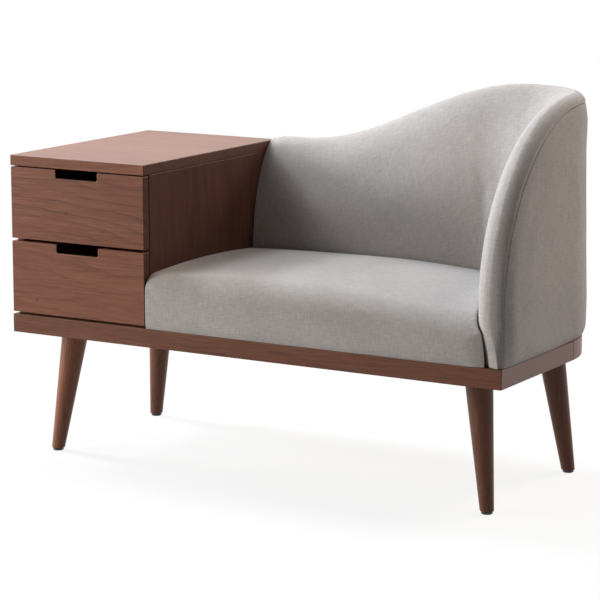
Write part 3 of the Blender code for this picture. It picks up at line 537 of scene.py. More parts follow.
# %% Plain woods
BIRCH = ((0.46, 0.31, 0.185), (0.62, 0.46, 0.31))
PLYWOOD = ((0.30, 0.19, 0.11), (0.50, 0.35, 0.22))
PLY_LAYER = 0.0016
STRAIGHT_WAVE = 0.1 * math.pi
UPRIGHT_LAYERS = (math.pi / 2, 0.0, 0.0)
PALE_BROAD = ((2.2, 22.0, 22.0), 3.0)
PALE_STREAKS = ((18.2, 520.0, 520.0), 2.0)
PALE_WEIGHTS = (-0.25, 0.8, 0.7)
LAYER_WEIGHTS = (-0.1, 0.75, 0.35)
PALE_STOPS = (0.15, 0.85)
PALE_BUMP = (0.2, 0.0002)
PALE_ROUGHNESS = (0.3, 0.7, 0.45, 0.58)


def pale_wood(name, turn, shift, colours, layer_turn=None):
    """Birch, or plywood when layer_turn says how to turn its layers to lie along z."""
    material, tree = blank(name)
    laid = board_place(tree, turn, shift)
    streaks = noise(tree, laid, *PALE_STREAKS)
    tone = weighted(tree, PALE_WEIGHTS, noise(tree, laid, *PALE_BROAD), streaks)
    if layer_turn is not None:
        across = board_place(tree, layer_turn, (0.0, 0.0, 0.0))
        inputs = {"Vector": across, "Scale": STRAIGHT_WAVE / PLY_LAYER}
        layers = add(tree, "TexWave", inputs, "Fac", bands_direction="Z")
        tone = weighted(tree, LAYER_WEIGHTS, tone, layers)
    base = ramp(tree, tone, PALE_STOPS, colours)
    finish_surface(tree, base, spread(tree, streaks, *PALE_ROUGHNESS), streaks, PALE_BUMP, {})
    return material


birch = pale_wood("birch", ALONG_X, (0.2, 0.0, 0.0), BIRCH)
birch_sides = pale_wood("birch_sides", ALONG_Y, (1.2, 0.3, 0.0), BIRCH)
flat_plywood = pale_wood("flat_plywood", ALONG_Y, (0.7, 0.2, 0.0), PLYWOOD, ALONG_X)
upright_plywood = pale_wood("upright_plywood", ALONG_Z, (0.3, 0.8, 0.0), PLYWOOD, UPRIGHT_LAYERS)
print("plain woods ready")

# %% Zinc and nylon
MIDDLE_STOPS = (0.3, 0.7)
ZINC_COLOURS = ((0.52, 0.52, 0.53), (0.66, 0.66, 0.67))
ZINC_BRUSHING = ((31.5, 900.0, 900.0), 2.0)
ZINC_BLOTCH = ((60.0, 60.0, 60.0), 2.0)
ZINC_ROUGHNESS = (0.12, 0.2, 0.25)
ZINC_BUMP = (0.1, 0.0001)
NYLON_COLOURS = ((0.008, 0.008, 0.008), (0.018, 0.017, 0.017))
NYLON_GRAIN = ((1800.0, 1800.0, 1800.0), 2.0)
NYLON_ROUGHNESS = (0.3, 0.7, 0.42, 0.6)
NYLON_BUMP = (0.15, 0.0001)


def zinc():
    """Plated steel: fine brushing along the slides, and a faint blotch of the plating in its gloss."""
    material, tree = blank("zinc_plate")
    laid = board_place(tree, ALONG_Y, (0.0, 0.0, 0.0))
    brushed = noise(tree, laid, *ZINC_BRUSHING)
    rough = weighted(tree, ZINC_ROUGHNESS, brushed, noise(tree, laid, *ZINC_BLOTCH))
    base = ramp(tree, brushed, MIDDLE_STOPS, ZINC_COLOURS)
    finish_surface(tree, base, rough, brushed, ZINC_BUMP, {"Metallic": 1.0})
    return material


def black_nylon():
    """Moulded nylon: nearly black, with the fine grain of its mould."""
    material, tree = blank("black_nylon_glide")
    grain = noise(tree, own_place(tree), *NYLON_GRAIN)
    base = ramp(tree, grain, MIDDLE_STOPS, NYLON_COLOURS)
    finish_surface(tree, base, spread(tree, grain, *NYLON_ROUGHNESS), grain, NYLON_BUMP, {})
    return material


zinc_plate = zinc()
nylon = black_nylon()
print("zinc and nylon ready")

# %% [markdown]
# ## Giving the solids their finish
#
# A solid keeps its mesh; only its material slot changes. Boards get their own walnut, and the rest follow
# the slot they came with.

# %% Finishes on the solids
UPRIGHT_PANELS = ("cabinet_back", "back_frame")


def plain_finish(name):
    """The finish of a solid that isn't walnut, from the name of the material it came with."""
    given = nodes[name].data.materials[0].name
    if "steel" in given:
        return zinc_plate
    if "nylon" in given:
        return nylon
    if "plywood" in given:
        return upright_plywood if name in UPRIGHT_PANELS else flat_plywood
    return birch_sides if name.endswith("_side") else birch


for node_name, solid in nodes.items():
    solid.data.materials[0] = finishes.get(node_name) or plain_finish(node_name)
print("finished solids:", len(nodes))

# %% [markdown]
# ## Upholstery fabric
#
# The cover is a warm grey flat weave of mixed yarns. Its threads are far finer than a pixel at this
# distance, so what the eye reads is the melange: short lighter and darker lengths of yarn along both
# thread directions. The cloth carries texture coordinates in metres, so that threads follow each panel;
# noises stretched along one or the other direction give the yarns, and two crossed waves the weave.

# %% Fabric
FABRIC_COLOURS = ((0.330, 0.311, 0.298), (0.450, 0.428, 0.415), (0.575, 0.552, 0.540))
FABRIC_STOPS = (0.1, 0.5, 0.9)
THREAD_GAP = 0.0011
THREAD_WAVE = {"Scale": STRAIGHT_WAVE / THREAD_GAP, "Distortion": 1.2, "Detail": 1.0}
WEFT_NOISE = ((45.0, 420.0, 1.0), 2.0, 0.6)
WARP_NOISE = ((420.0, 45.0, 1.0), 2.0, 0.6)
CLOUD_NOISE = ((9.0, 9.0, 9.0), 3.0)
MELANGE = (-0.45, 0.80, 0.75, 0.35)
FABRIC_RELIEF = (0.0, 1.0, 0.8, 0.8)
FABRIC_BUMP = (0.35, 0.0004)
FABRIC_ROUGHNESS = (0.0, 1.0, 0.95, 0.85)
FABRIC_SHINE = {"Specular IOR Level": 0.2, "Sheen Weight": 0.25, "Sheen Roughness": 0.4}


def woven(name):
    """Flat weave: warp and weft waves for the threads, stretched noises for the mixed yarns."""
    material, tree = blank(name)
    place = add(tree, "UVMap", uv_map="cloth")
    weft = noise(tree, place, *WEFT_NOISE)
    warp = noise(tree, place, *WARP_NOISE)
    cloudy = noise(tree, place, *CLOUD_NOISE)
    threads = {"Vector": place, **THREAD_WAVE}
    across = add(tree, "TexWave", threads, "Fac", bands_direction="X")
    upward = add(tree, "TexWave", threads, "Fac", bands_direction="Y")
    weave = math_node(tree, "MAXIMUM", across, upward)
    base = ramp(tree, weighted(tree, MELANGE, weft, warp, cloudy), FABRIC_STOPS, FABRIC_COLOURS)
    relief = weighted(tree, FABRIC_RELIEF, weave, weft, warp)
    finish_surface(tree, base, spread(tree, weave, *FABRIC_ROUGHNESS), relief, FABRIC_BUMP, FABRIC_SHINE)
    return material


fabric = woven("grey_weave")
print("fabric ready, thread gap", THREAD_GAP)

# %% [markdown]
# ## Measures
#
# The upholstery has to meet the wood, so its main measures are read from the wooden solids. What is left
# are the sizes of the padding itself. Places are written in bench space: x from the left end, y from the
# front face towards the back, z from the floor. Adding ORIGIN turns them into scene coordinates.

# %% Main measures
GAP = 0.0003
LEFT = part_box("left_rail")[0].x
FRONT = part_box("front_rail")[0].y
ORIGIN = np.array([LEFT, FRONT, 0.0])
BASE_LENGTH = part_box("right_rail")[1].x - LEFT
BASE_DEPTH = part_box("back_rail")[1].y - FRONT
RAIL_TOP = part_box("front_rail")[1].z
CABINET_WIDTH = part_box("cabinet_top")[1].x - LEFT
CORNER_RADIUS = 0.190
SEAT_RISE = 0.111
SEAT_FLOOR = RAIL_TOP + GAP
SEAT_LEVEL = RAIL_TOP + SEAT_RISE
print(f"base {BASE_LENGTH:.4f} x {BASE_DEPTH:.4f} m, rail top at {RAIL_TOP:.4f} m")

# %% [markdown]
# ## The line of the back
#
# Everything soft on the back and arm hangs on one line: the outer seam. It climbs straight up the front
# of the arm, bends over in a quarter ellipse, runs level round the rear corner and falls in a wave to the
# cabinet. A point is placed by how far along the developed outer face it lies, starting at the arm's
# front, and by its inset from that face. Working in this unrolled strip keeps the arm, the corner and the
# back one continuous surface.

# %% Unrolled outer face
ARM_END = BASE_DEPTH - CORNER_RADIUS
CORNER_END = ARM_END + CORNER_RADIUS * math.pi / 2
CORNER_MIDDLE = (ARM_END + CORNER_END) / 2
BACK_END = CORNER_END + BASE_LENGTH - CORNER_RADIUS - CABINET_WIDTH - GAP
ARM_VERTICAL = 0.101
ARM_RISE = 0.371
ARM_RUN = 0.3525
SEAM_SETBACK = 0.012
BACK_BELOW_CABINET = 0.009
SWEEP_LENGTH = 0.540
END_DIP = 0.005
END_DIP_RUN = 0.034
ARM_APEX = SEAM_SETBACK + ARM_RUN
SEAM_HIGH = RAIL_TOP + ARM_VERTICAL + ARM_RISE
SEAM_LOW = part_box("cabinet_top")[1].z - BACK_BELOW_CABINET


def rise(value, start, run):
    """Half a cosine wave: 0 up to the start, 1 past the run."""
    return (1 - np.cos(np.pi * np.clip((value - start) / run, 0.0, 1.0))) / 2


def quarter_round(t):
    """The height of a quarter circle: square root of 1 minus (1 - t) squared."""
    return np.sqrt(1 - (1 - np.clip(t, 0.0, 1.0)) ** 2)


def blend(start, end, share):
    """A value between two: the start at share 0, the end at share 1."""
    return start + (end - start) * share


def plan_point(along, inset):
    """Plan place of a point: straight along the arm, an arc round the corner, straight along the back."""
    turn = np.clip((along - ARM_END) / CORNER_RADIUS, 0, math.pi / 2)
    arm_run = np.minimum(along - ARM_END, 0)
    back_run = np.maximum(along - CORNER_END, 0)
    x = BASE_LENGTH - CORNER_RADIUS + (CORNER_RADIUS - inset) * np.cos(turn) - back_run
    y = BASE_DEPTH - CORNER_RADIUS + (CORNER_RADIUS - inset) * np.sin(turn) + arm_run
    return x, y


def seam_height(along):
    """Height of the outer seam past the arm: level, then half a cosine down, with a small dip at the end."""
    dip = END_DIP * (1 - rise(BACK_END - along, 0, END_DIP_RUN))
    return blend(SEAM_HIGH, SEAM_LOW, rise(along, CORNER_END, SWEEP_LENGTH)) - dip


print(f"seam at {SEAM_HIGH:.3f} m on the arm, {SEAM_LOW:.3f} m at the cabinet")

# %% Section lines
ARM_FAN_FOOT = 0.237
END_SHARE = 0.08
LINE_COUNTS = {"upright": 9, "bend": 36, "corner": 24, "fall": 40, "dip": 8}


def with_end_lines(values):
    """Adds a value close to the first and one close to the last, which keep the ends square."""
    first = blend(values[0], values[1], END_SHARE)
    last = blend(values[-1], values[-2], END_SHARE)
    return np.hstack([values[0], first, values[1:-1], last, values[-1]])


def section_lines(upright, bend, corner, fall, dip):
    """Section lines as columns: start on the seam (along, height), unit direction, and length.

    On the arm the lines fan out from the floor of the seat, so that each crosses the seam nearly square.
    From the top of the arm to the cabinet they drop straight down.
    """
    foot = np.linspace(SEAT_FLOOR, SEAT_FLOOR + ARM_VERTICAL, upright + 1)[:-1]
    angle = np.linspace(0, math.pi / 2, bend + 1)
    fan_along = np.append(foot * 0 + SEAM_SETBACK, SEAM_SETBACK + ARM_RUN * (1 - np.cos(angle)))
    fan_height = np.append(foot, RAIL_TOP + ARM_VERTICAL + ARM_RISE * np.sin(angle))
    fan_foot = np.linspace(ARM_FAN_FOOT, ARM_APEX, len(fan_along))
    ends = (ARM_APEX, CORNER_END, BACK_END - END_DIP_RUN, BACK_END)
    stretches = zip(ends, ends[1:], (corner, fall, dip))
    rest = np.hstack([np.linspace(start, end, count + 1)[1:] for start, end, count in stretches])
    along = with_end_lines(np.append(fan_along, rest))
    height = with_end_lines(np.append(fan_height, seam_height(rest)))
    run_x = with_end_lines(np.append(fan_foot - fan_along, rest * 0))
    run_z = SEAT_FLOOR - height
    length = np.hypot(run_x, run_z)
    return [values[:, None] for values in (along, height, run_x / length, run_z / length, length)]


LINES = section_lines(**LINE_COUNTS)
print("section lines:", len(LINES[0]))

# %% [markdown]
# ## The padding's thickness
#
# Foam over a frame has a thin rounded edge that swells quickly into the full pad. One formula gives the
# inset of the inner face: a small lip in the shape of a quarter circle, plus a pad that grows as one minus
# a falling exponential of the depth below the ridge. In the inner corner the pad reaches further in, so
# that arm and back meet in an arc of their own radius. Pairs are a size on the arm and on the back.

# %% Padding
ROLL_FOOT = 0.010
ROLL = (0.020, 0.0195)
SEAM_INSET = 0.0025
RIDGE_INSET = (0.032, 0.008)
LIP = (0.016, 0.012)
LIP_RUN = (0.022, 0.015)
PAD = (0.064, 0.085)
SOFTNESS = (0.095, 0.090)
THICKNESS = np.add(RIDGE_INSET, LIP) + PAD
INNER_CORNER_RADIUS = 0.160


def arm_to_back(sizes, along):
    """A size that changes from its arm value to its back value round the corner, by half a cosine."""
    return blend(*sizes, rise(along, ARM_END, CORNER_END - ARM_END))


def roll_height(height, along):
    """How far the padded roll stands beyond the seam: little at the arm's foot, most along the back."""
    return blend(ROLL_FOOT, arm_to_back(ROLL, along), rise(height, SEAT_FLOOR, SEAM_HIGH - SEAT_FLOOR))


def corner_fill(along):
    """Extra padding in the inner corner: the distance out to an arc, less the padding that is there."""
    arc_x, arc_y = CORNER_RADIUS - THICKNESS - INNER_CORNER_RADIUS
    turn = np.clip((along - ARM_END) / CORNER_RADIUS, 0, math.pi / 2)
    from_x = np.maximum(-np.maximum(along - CORNER_END, 0), arc_x) - arc_x
    from_y = np.maximum(np.minimum(along - ARM_END, 0), arc_y) - arc_y
    outward = from_x * np.cos(turn) + from_y * np.sin(turn)
    reach = np.sqrt(outward**2 - from_x**2 - from_y**2 + INNER_CORNER_RADIUS**2) - outward
    return np.maximum(CORNER_RADIUS - reach - arm_to_back(THICKNESS, along), 0)


def pad_inset(depth, along):
    """Inset of the inner face: ridge + lip * quarter round + pad * (1 - exp(-depth / softness))."""
    lip = arm_to_back(LIP, along) * quarter_round(depth / arm_to_back(LIP_RUN, along))
    pad = arm_to_back(PAD, along) + corner_fill(along)
    swollen = 1 - np.exp(-np.maximum(depth, 0) / arm_to_back(SOFTNESS, along))
    return arm_to_back(RIDGE_INSET, along) + lip + pad * swollen


def held_depth(along):
    """Depth below the ridge where the cushion meets the padding: behind the arm's edge, or at its level."""
    seam = seam_height(along)
    behind_edge = along - SEAM_SETBACK + roll_height(SEAT_LEVEL, along)
    return np.minimum(behind_edge, seam + roll_height(seam, along) - SEAT_LEVEL)


print("padding on arm and back", THICKNESS.round(3))

# %% [markdown]
# ## From arrays to meshes
#
# A padded strip is a grid of closed rings: every row is one section of the piece. The faces between the
# rings follow from index arithmetic alone, so the whole mesh goes into Blender in a few calls. Texture
# coordinates are lengths in metres, so that the weave has one scale on every piece.

# %% Mesh helpers
def new_piece(name, points, quads, uv, material):
    """A smooth closed mesh from arrays: points (n, 3), quads (m, 4) and one uv per point."""
    loops = quads.ravel()
    mesh = bpy.data.meshes.new(name)
    mesh.vertices.add(len(points))
    mesh.vertices.foreach_set("co", (points + ORIGIN).ravel())
    mesh.loops.add(len(loops))
    mesh.loops.foreach_set("vertex_index", loops.astype(np.int32))
    mesh.polygons.add(len(quads))
    mesh.polygons.foreach_set("loop_start", np.arange(0, len(loops), 4, np.int32))
    mesh.update(calc_edges=True)
    layer = mesh.uv_layers.new(name="cloth")
    layer.data.foreach_set("uv", uv[loops].ravel())
    face_outwards(mesh)
    mesh.shade_smooth()
    mesh.materials.append(material)
    piece = bpy.data.objects.new(name, mesh)
    scene.collection.objects.link(piece)
    return piece


def face_outwards(mesh):
    """Turns the faces of a closed mesh so that they all point out."""
    editor = bmesh.new()
    editor.from_mesh(mesh)
    bmesh.ops.recalc_face_normals(editor, faces=editor.faces)
    editor.to_mesh(mesh)
    editor.free()


def grid_quads(rows, columns, closed):
    """Corner numbers of the quads of a grid of points, joined round when its rows are closed rings."""
    i = np.arange(rows - 1)[:, None] * columns
    j = np.arange(columns if closed else columns - 1)[None, :]
    k = (j + 1) % columns
    return np.dstack([i + j, i + k, i + columns + k, i + columns + j]).reshape(-1, 4)


def ring_strip(name, rings, uv, material):
    """Skins closed rings (rows, columns, 3); each end is closed between its shown half and its back half."""
    rows, columns = rings.shape[:2]
    j = np.arange(columns // 2 - 1)
    end = np.column_stack([j, columns - 1 - j, columns - 2 - j, j + 1])
    far_end = (rows - 1) * columns + end[:, ::-1]
    quads = np.vstack([grid_quads(rows, columns, True), end, far_end])
    return new_piece(name, rings.reshape(-1, 3), quads, uv.reshape(-1, 2), material)


print("mesh helpers ready")

# %% [markdown]
# ## Back pad and outer cover
#
# The pad is one piece: from the outer seam it rolls over the frame's edge, swells into the inner face and
# runs down behind the cushion. The cover closes the outside, eased at the seam and drawn in at its foot.
# Both are the same loft, a profile carried along the section lines, so their edges meet in one seam; each
# profile dips inwards in its first millimetre, which leaves the fine dark crease of a sewn seam. A second,
# shallower crease on the arm's inner edge is where its edge panel is sewn to the inside.

# %% Points on the section lines
LEAN_HEIGHT = 0.095
LEAN_DEPTH = 0.060
LEAN_WIDTH = 0.150


def on_lines(lines, depth, inset):
    """Points of all section lines at once, and how far along the face they lie."""
    along, height, run_x, run_z, _ = lines
    where = along + run_x * depth
    x, y = plan_point(where, inset)
    return np.dstack([x, y, height + run_z * depth]), where


def line_lengths(rows):
    """Length along each row of points, from its first point: the running sum of the steps."""
    steps = np.linalg.norm(np.diff(rows, axis=-2), axis=-1)
    return np.concatenate([0 * steps[..., :1], np.cumsum(steps, axis=-1)], axis=-1)


def leaning(points, lean):
    """Moves the foot of the arm's front outwards by lean, where the cushion presses on it.

    The shift is full at the foot and the front and beside the cushion, and fades by half a cosine in each
    direction: with the height, with the distance behind the front, and towards the seam.
    """
    x, y, z = np.moveaxis(points, -1, 0)
    low = 1 - rise(z, SEAT_FLOOR, LEAN_HEIGHT)
    near = 1 - rise(y, 0, LEAN_DEPTH)
    inset = BASE_LENGTH - x
    off_seam = rise(inset, SEAM_INSET, RIDGE_INSET[0])
    beside = 1 - rise(inset, RIDGE_INSET[0], LEAN_WIDTH)
    return points + (lean * low * near * off_seam * beside)[..., None] * np.array([1.0, 0.0, 0.0])


print("places on the section lines ready")

# %% Back pad surface
FRAME_INSET = 0.004
FRAME_THICKNESS = 0.015
FRAME_MARGIN = 0.030
SEAM_OPENING = 0.0010
SEAM_CREASE = 0.0045
ROLL_TURNS = np.radians([0, 5, 11, 19, 28, 38, 49, 61, 73, 83])
PAD_NEAR = np.array([0, 1.5, 3.5, 6, 9, 12.5, 15.5, 17.2, 18, 18.8, 20.5, 24, 29, 35, 42, 49, 57]) / 1000
PAD_FAR = np.linspace(0, 1, 29)[1:]
PAD_LEAN = 0.020
INNER_SEAM_PLACE = 0.018
INNER_SEAM_HALF = 0.0012
INNER_SEAM_DEPTH = 0.0022
INNER_SEAM_FADE = 0.100


def pad_profile(lines):
    """Depths and insets of the pad: a quarter ellipse over the edge, the inner face, the frame's slot."""
    along, height, run_x, run_z, length = lines
    roll = roll_height(height, along)
    roll_depth = -SEAM_OPENING - roll * np.sin(ROLL_TURNS)
    crease = SEAM_CREASE * (ROLL_TURNS == 0)
    roll_inset = crease + blend(SEAM_INSET, arm_to_back(RIDGE_INSET, along), 1 - np.cos(ROLL_TURNS))
    below = np.hstack([PAD_NEAR + 0 * length, blend(PAD_NEAR[-1], length + roll, PAD_FAR)])
    beside = along + run_x * (below - roll)
    groove = np.maximum(1 - np.abs(below - INNER_SEAM_PLACE) / INNER_SEAM_HALF, 0)
    groove = groove * rise(ARM_APEX - along, 0, INNER_SEAM_FADE)
    inner_inset = pad_inset(np.minimum(below, held_depth(beside)), beside) - INNER_SEAM_DEPTH * groove
    shown_depth = np.hstack([roll_depth, below - roll])
    share = np.linspace(1, 0, shown_depth.shape[1])
    back_depth = blend(-SEAM_OPENING, length, share)
    slot = FRAME_INSET + FRAME_THICKNESS + GAP
    back_inset = np.where(back_depth > FRAME_MARGIN - GAP, slot, FRAME_INSET)
    return np.hstack([shown_depth, back_depth]), np.hstack([roll_inset, inner_inset, back_inset])


pad_rings, pad_where = on_lines(LINES, *pad_profile(LINES))
shown_half = pad_rings.shape[1] // 2
pad_rings[:, :shown_half] = leaning(pad_rings[:, :shown_half], PAD_LEAN)
pad_uv = np.dstack([line_lengths(pad_rings[:, 0])[:, None] + 0 * pad_where, line_lengths(pad_rings)])
print("pad grid", pad_rings.shape[:2])

# %% Outer cover surface
COVER_BULGE = 0.0115
COVER_TOP_BULGE = 0.002
COVER_EASE = 0.045
COVER_FOOT = 0.085
COVER_NEAR = np.array([0, 0.7, 1.8, 3.5, 6, 9.5, 14, 19.5, 26, 35, 45]) / 1000
COVER_FAR = np.linspace(0, 1, 31)[1:]


def cover_profile(lines):
    """Depths and insets of the cover: a parabola out of the seam, a bulge, drawn in at the foot."""
    _, height, _, run_z, length = lines
    face = np.hstack([COVER_NEAR + 0 * length, blend(COVER_EASE, length, COVER_FAR)])
    lift = height + run_z * face - SEAT_FLOOR
    eased = 1 - (1 - np.clip(face / COVER_EASE, 0, 1)) ** 2
    bulge = blend(COVER_BULGE, COVER_TOP_BULGE, lift / (SEAM_HIGH - SEAT_FLOOR))
    out = bulge * eased * quarter_round(lift / COVER_FOOT)
    inset = SEAM_INSET * (1 - eased) - out + SEAM_CREASE * (face == 0)
    lining = np.full_like(face, FRAME_INSET - GAP)
    return np.hstack([face, face[:, ::-1]]), np.hstack([inset, lining])


cover_rings, cover_where = on_lines(LINES, *cover_profile(LINES))
cover_uv = np.dstack([cover_where, cover_rings[..., 2]])
print("cover grid", cover_rings.shape[:2])

# %% [markdown]
# ## Seat cushion
#
# The cushion fills the space between the cabinet, the front, the arm and the back. Its plan blends these
# four edges, which gives a grid without a pole; its height is a low crown that falls away in a quarter
# circle at the front and dips towards the arm. Beside the arm the front curls back, so that the cushion
# tucks in behind the arm's edge. Walls go down from the rim to the base, drawn in a little above the rail.

# %% Plan of the cushion
SEAT_FRONT_ROUND = 0.050
SEAT_SIDE_ROUND = 0.006
SEAT_CLEARANCE = 0.0025
SEAT_CURL = 0.006
SEAT_CURL_RUN = 0.036
BEND_ROWS = 15
FLAT_ROWS = 34
FLAT_COLUMNS = 66
RIM_SHARES = np.array([0.0, 0.12, 0.35, 0.65, 1.0])


def seat_hem(along):
    """Plan of the line where the cushion meets the padding, from the arm round the corner to the back."""
    return np.column_stack(plan_point(along, pad_inset(held_depth(along), along) + SEAT_CLEARANCE))


def seat_plan():
    """Plan grid: both pairs of opposite edges blended, less the blend of the four corners."""
    left = CABINET_WIDTH + GAP
    back_left = float(seat_hem(np.array([BACK_END]))[0, 1])
    rounding = SEAT_SIDE_ROUND * RIM_SHARES
    bend = SEAT_FRONT_ROUND * (1 - np.cos(np.linspace(0, math.pi / 2, BEND_ROWS)))
    flat = np.linspace(SEAT_FRONT_ROUND, back_left - SEAT_SIDE_ROUND, FLAT_ROWS)[1:]
    rows = np.hstack([bend, flat, back_left - rounding[-2::-1]])
    share = (rows / back_left)[:, None, None]
    past_bend = np.clip((rows - SEAT_FRONT_ROUND) / (back_left - SEAT_FRONT_ROUND), 0, 1)
    along_arm = np.minimum(rows, SEAT_FRONT_ROUND) + past_bend * (CORNER_MIDDLE - SEAT_FRONT_ROUND)
    along_arm = along_arm + SEAT_CURL * (1 - past_bend)
    rim = rounding / (BASE_LENGTH - left)
    across = np.hstack([rim, np.linspace(rim[-1], 1 - rim[-1], FLAT_COLUMNS)[1:-1], 1 - rim[::-1]])
    column = across[None, :, None]
    arm_side = seat_hem(along_arm)[:, None]
    cabinet_side = np.column_stack([0 * rows + left, rows])[:, None]
    back_side = seat_hem(blend(BACK_END, CORNER_MIDDLE, across))[None]
    tip = arm_side[0, 0]
    curl = (1 - np.clip((1 - across) * (tip[0] - left) / SEAT_CURL_RUN, 0, 1)) ** 2
    front_side = np.column_stack([blend(left, tip[0], across), tip[1] * curl])[None]
    near = blend(front_side[0, 0], tip, column)
    distant = blend(back_side[0, 0], back_side[0, -1], column)
    plan = blend(front_side - near, back_side - distant, share) + blend(cabinet_side, arm_side, column)
    return plan, rows / back_left, across


plan_grid, back_shares, arm_shares = seat_plan()
print("cushion plan", plan_grid.shape[:2])

# %% Height of the cushion
SEAT_CROWN_ALONG = 0.008
SEAT_CROWN_ACROSS = 0.009
SEAT_DIP = 0.015
SEAT_DIP_START = 0.45
SEAT_END_ROUND = 0.028
SEAT_ROUND_CHANGE = 0.160


def seat_height(plan, back_share, across):
    """Crown in both directions, less a dip at the arm, a quarter round in front and small ones elsewhere."""
    width = BASE_LENGTH - CABINET_WIDTH
    bow_across = 4 * (back_share * (1 - back_share))[:, None]
    bow_along = 4 * across * (1 - across)
    rounding = blend(SEAT_END_ROUND, SEAT_FRONT_ROUND, rise(across * width, 0, SEAT_ROUND_CHANGE))
    front_drop = rounding * (1 - quarter_round(np.maximum(plan[..., 1], 0) / rounding))
    off_side = np.minimum(across, 1 - across) * width
    off_back = (1 - back_share)[:, None] * BASE_DEPTH
    side_drop = SEAT_SIDE_ROUND * (1 - quarter_round(np.minimum(off_side, off_back) / SEAT_SIDE_ROUND))
    crown = SEAT_CROWN_ALONG * bow_along + SEAT_CROWN_ACROSS * bow_across
    dip = SEAT_DIP * rise(across, SEAT_DIP_START, 1 - SEAT_DIP_START)
    return SEAT_LEVEL + crown - dip - front_drop - side_drop


seat_top = np.dstack([plan_grid, seat_height(plan_grid, back_shares, arm_shares)])
print("cushion crown", seat_top[..., 2].max().round(3), "m high")

# %% Walls of the cushion
SEAT_TUCK = 0.003
SEAT_TUCK_HEIGHT = 0.014
SEAT_LEAN = 0.010
WALL_SHARES = np.array([0.2, 0.4, 0.6, 0.8, 1.0, 1.0, 1.0, 1.0, 1.0])
WALL_LIFTS = np.array([1.0, 1.0, 1.0, 1.0, 1.0, 0.5, 0.2, 0.04, 0.0])
WALL_TUCKS = np.array([0.0, 0.0, 0.0, 0.0, 0.0, 0.25, 0.65, 0.95, 1.0])


def rim_and_wall(top):
    """Point numbers round the rim of the top grid, and the rings of the wall that hangs from it."""
    number = np.arange(top[..., 0].size).reshape(top.shape[:2])
    rim = np.hstack([number[0, :-1], number[:-1, -1], number[-1, :0:-1], number[:0:-1, 0]])
    edge = top.reshape(-1, 3)[rim]
    wall = np.repeat(edge[None], len(WALL_LIFTS), axis=0)
    fading = rise(top[0, -1, 0] - edge[:, 0], 0, SEAT_FRONT_ROUND)
    wall[..., 1] = np.maximum(wall[..., 1], SEAT_TUCK * WALL_TUCKS[:, None] * fading)
    hem = SEAT_FLOOR + SEAT_TUCK_HEIGHT * WALL_LIFTS[:, None]
    wall[..., 2] = blend(edge[:, 2], hem, WALL_SHARES[:, None])
    return rim, wall


def cushion(name, top, rim, wall, material):
    """Joins the top grid through its wall rings to a flat grid underneath."""
    rows, columns = top.shape[:2]
    count = rows * columns
    rings = np.vstack([rim, count + np.arange(wall[..., 0].size).reshape(wall.shape[:2])])
    following = np.roll(rings, -1, axis=1)
    sides = np.dstack([rings[:-1], following[:-1], following[1:], rings[1:]]).reshape(-1, 4)
    under = top[1:-1, 1:-1].reshape(-1, 3) * (1, 1, 0) + (0, 0, SEAT_FLOOR)
    numbers = np.zeros(count, int)
    numbers[rim] = rings[-1]
    inside = np.setdiff1d(np.arange(count), rim)
    numbers[inside] = rings[-1].max() + 1 + np.arange(len(inside))
    face = grid_quads(rows, columns, False)
    quads = np.vstack([face, sides, numbers[face][:, ::-1]])
    points = np.vstack([top.reshape(-1, 3), wall.reshape(-1, 3), under])
    uv = np.column_stack([points[:, 0], points[:, 1] + points[:, 2]])
    return new_piece(name, points, quads, uv, material)


seat_rim, seat_wall = rim_and_wall(seat_top)
seat_top = leaning(seat_top, SEAT_LEAN)
seat_wall = leaning(seat_wall, SEAT_LEAN)
print("cushion rim", len(seat_rim), "points, wall", len(seat_wall), "rings")

# %% [markdown]
# ## Stuffing
#
# Foam presses the cloth out between its seams. Blender's cloth does that under a little inner pressure: a
# piece starts slightly thin, its sewn edges and the faces that touch a neighbour are held, and a few frames
# let it swell. The settled points are then capped and kept in the mesh, and no simulation is left behind.

# %% Cloth under pressure
PRESSURE = 4.0
SETTLE_FRAMES = 20
CLOTH_STEPS = 5
START_THIN = 0.002
MOST_MOVE = 0.004
LEAST_MOVE = 9e-8


def per_point(mesh, kind):
    """A vector for each point of a mesh, its place or its normal, as one array."""
    values = np.empty(len(mesh.vertices) * 3, np.float32)
    mesh.vertices.foreach_get(kind, values)
    return values.reshape(-1, 3).astype(float)


def put_points(mesh, points):
    """Gives all points of a mesh their places."""
    mesh.vertices.foreach_set("co", points.astype(np.float32).ravel())
    mesh.update()


def swell(piece, start, loose):
    """Runs the cloth from the start points and gives the points of its last frame."""
    put_points(piece.data, start)
    sewn = piece.vertex_groups.new(name="sewn")
    sewn.add(np.flatnonzero(loose == 0).tolist(), 1.0, "REPLACE")
    cloth = piece.modifiers.new("stuffing", "CLOTH")
    cloth.settings.quality = CLOTH_STEPS
    cloth.settings.vertex_group_mass = sewn.name
    cloth.settings.use_pressure = True
    cloth.settings.uniform_pressure_force = PRESSURE
    cloth.settings.effector_weights.gravity = 0
    cloth.collision_settings.use_collision = False
    for step in range(1, SETTLE_FRAMES + 1):
        scene.frame_set(step)
    shown = piece.evaluated_get(bpy.context.evaluated_depsgraph_get())
    settled = per_point(shown.data, "co")
    piece.modifiers.remove(cloth)
    piece.vertex_groups.remove(sewn)
    scene.frame_set(1)
    return settled


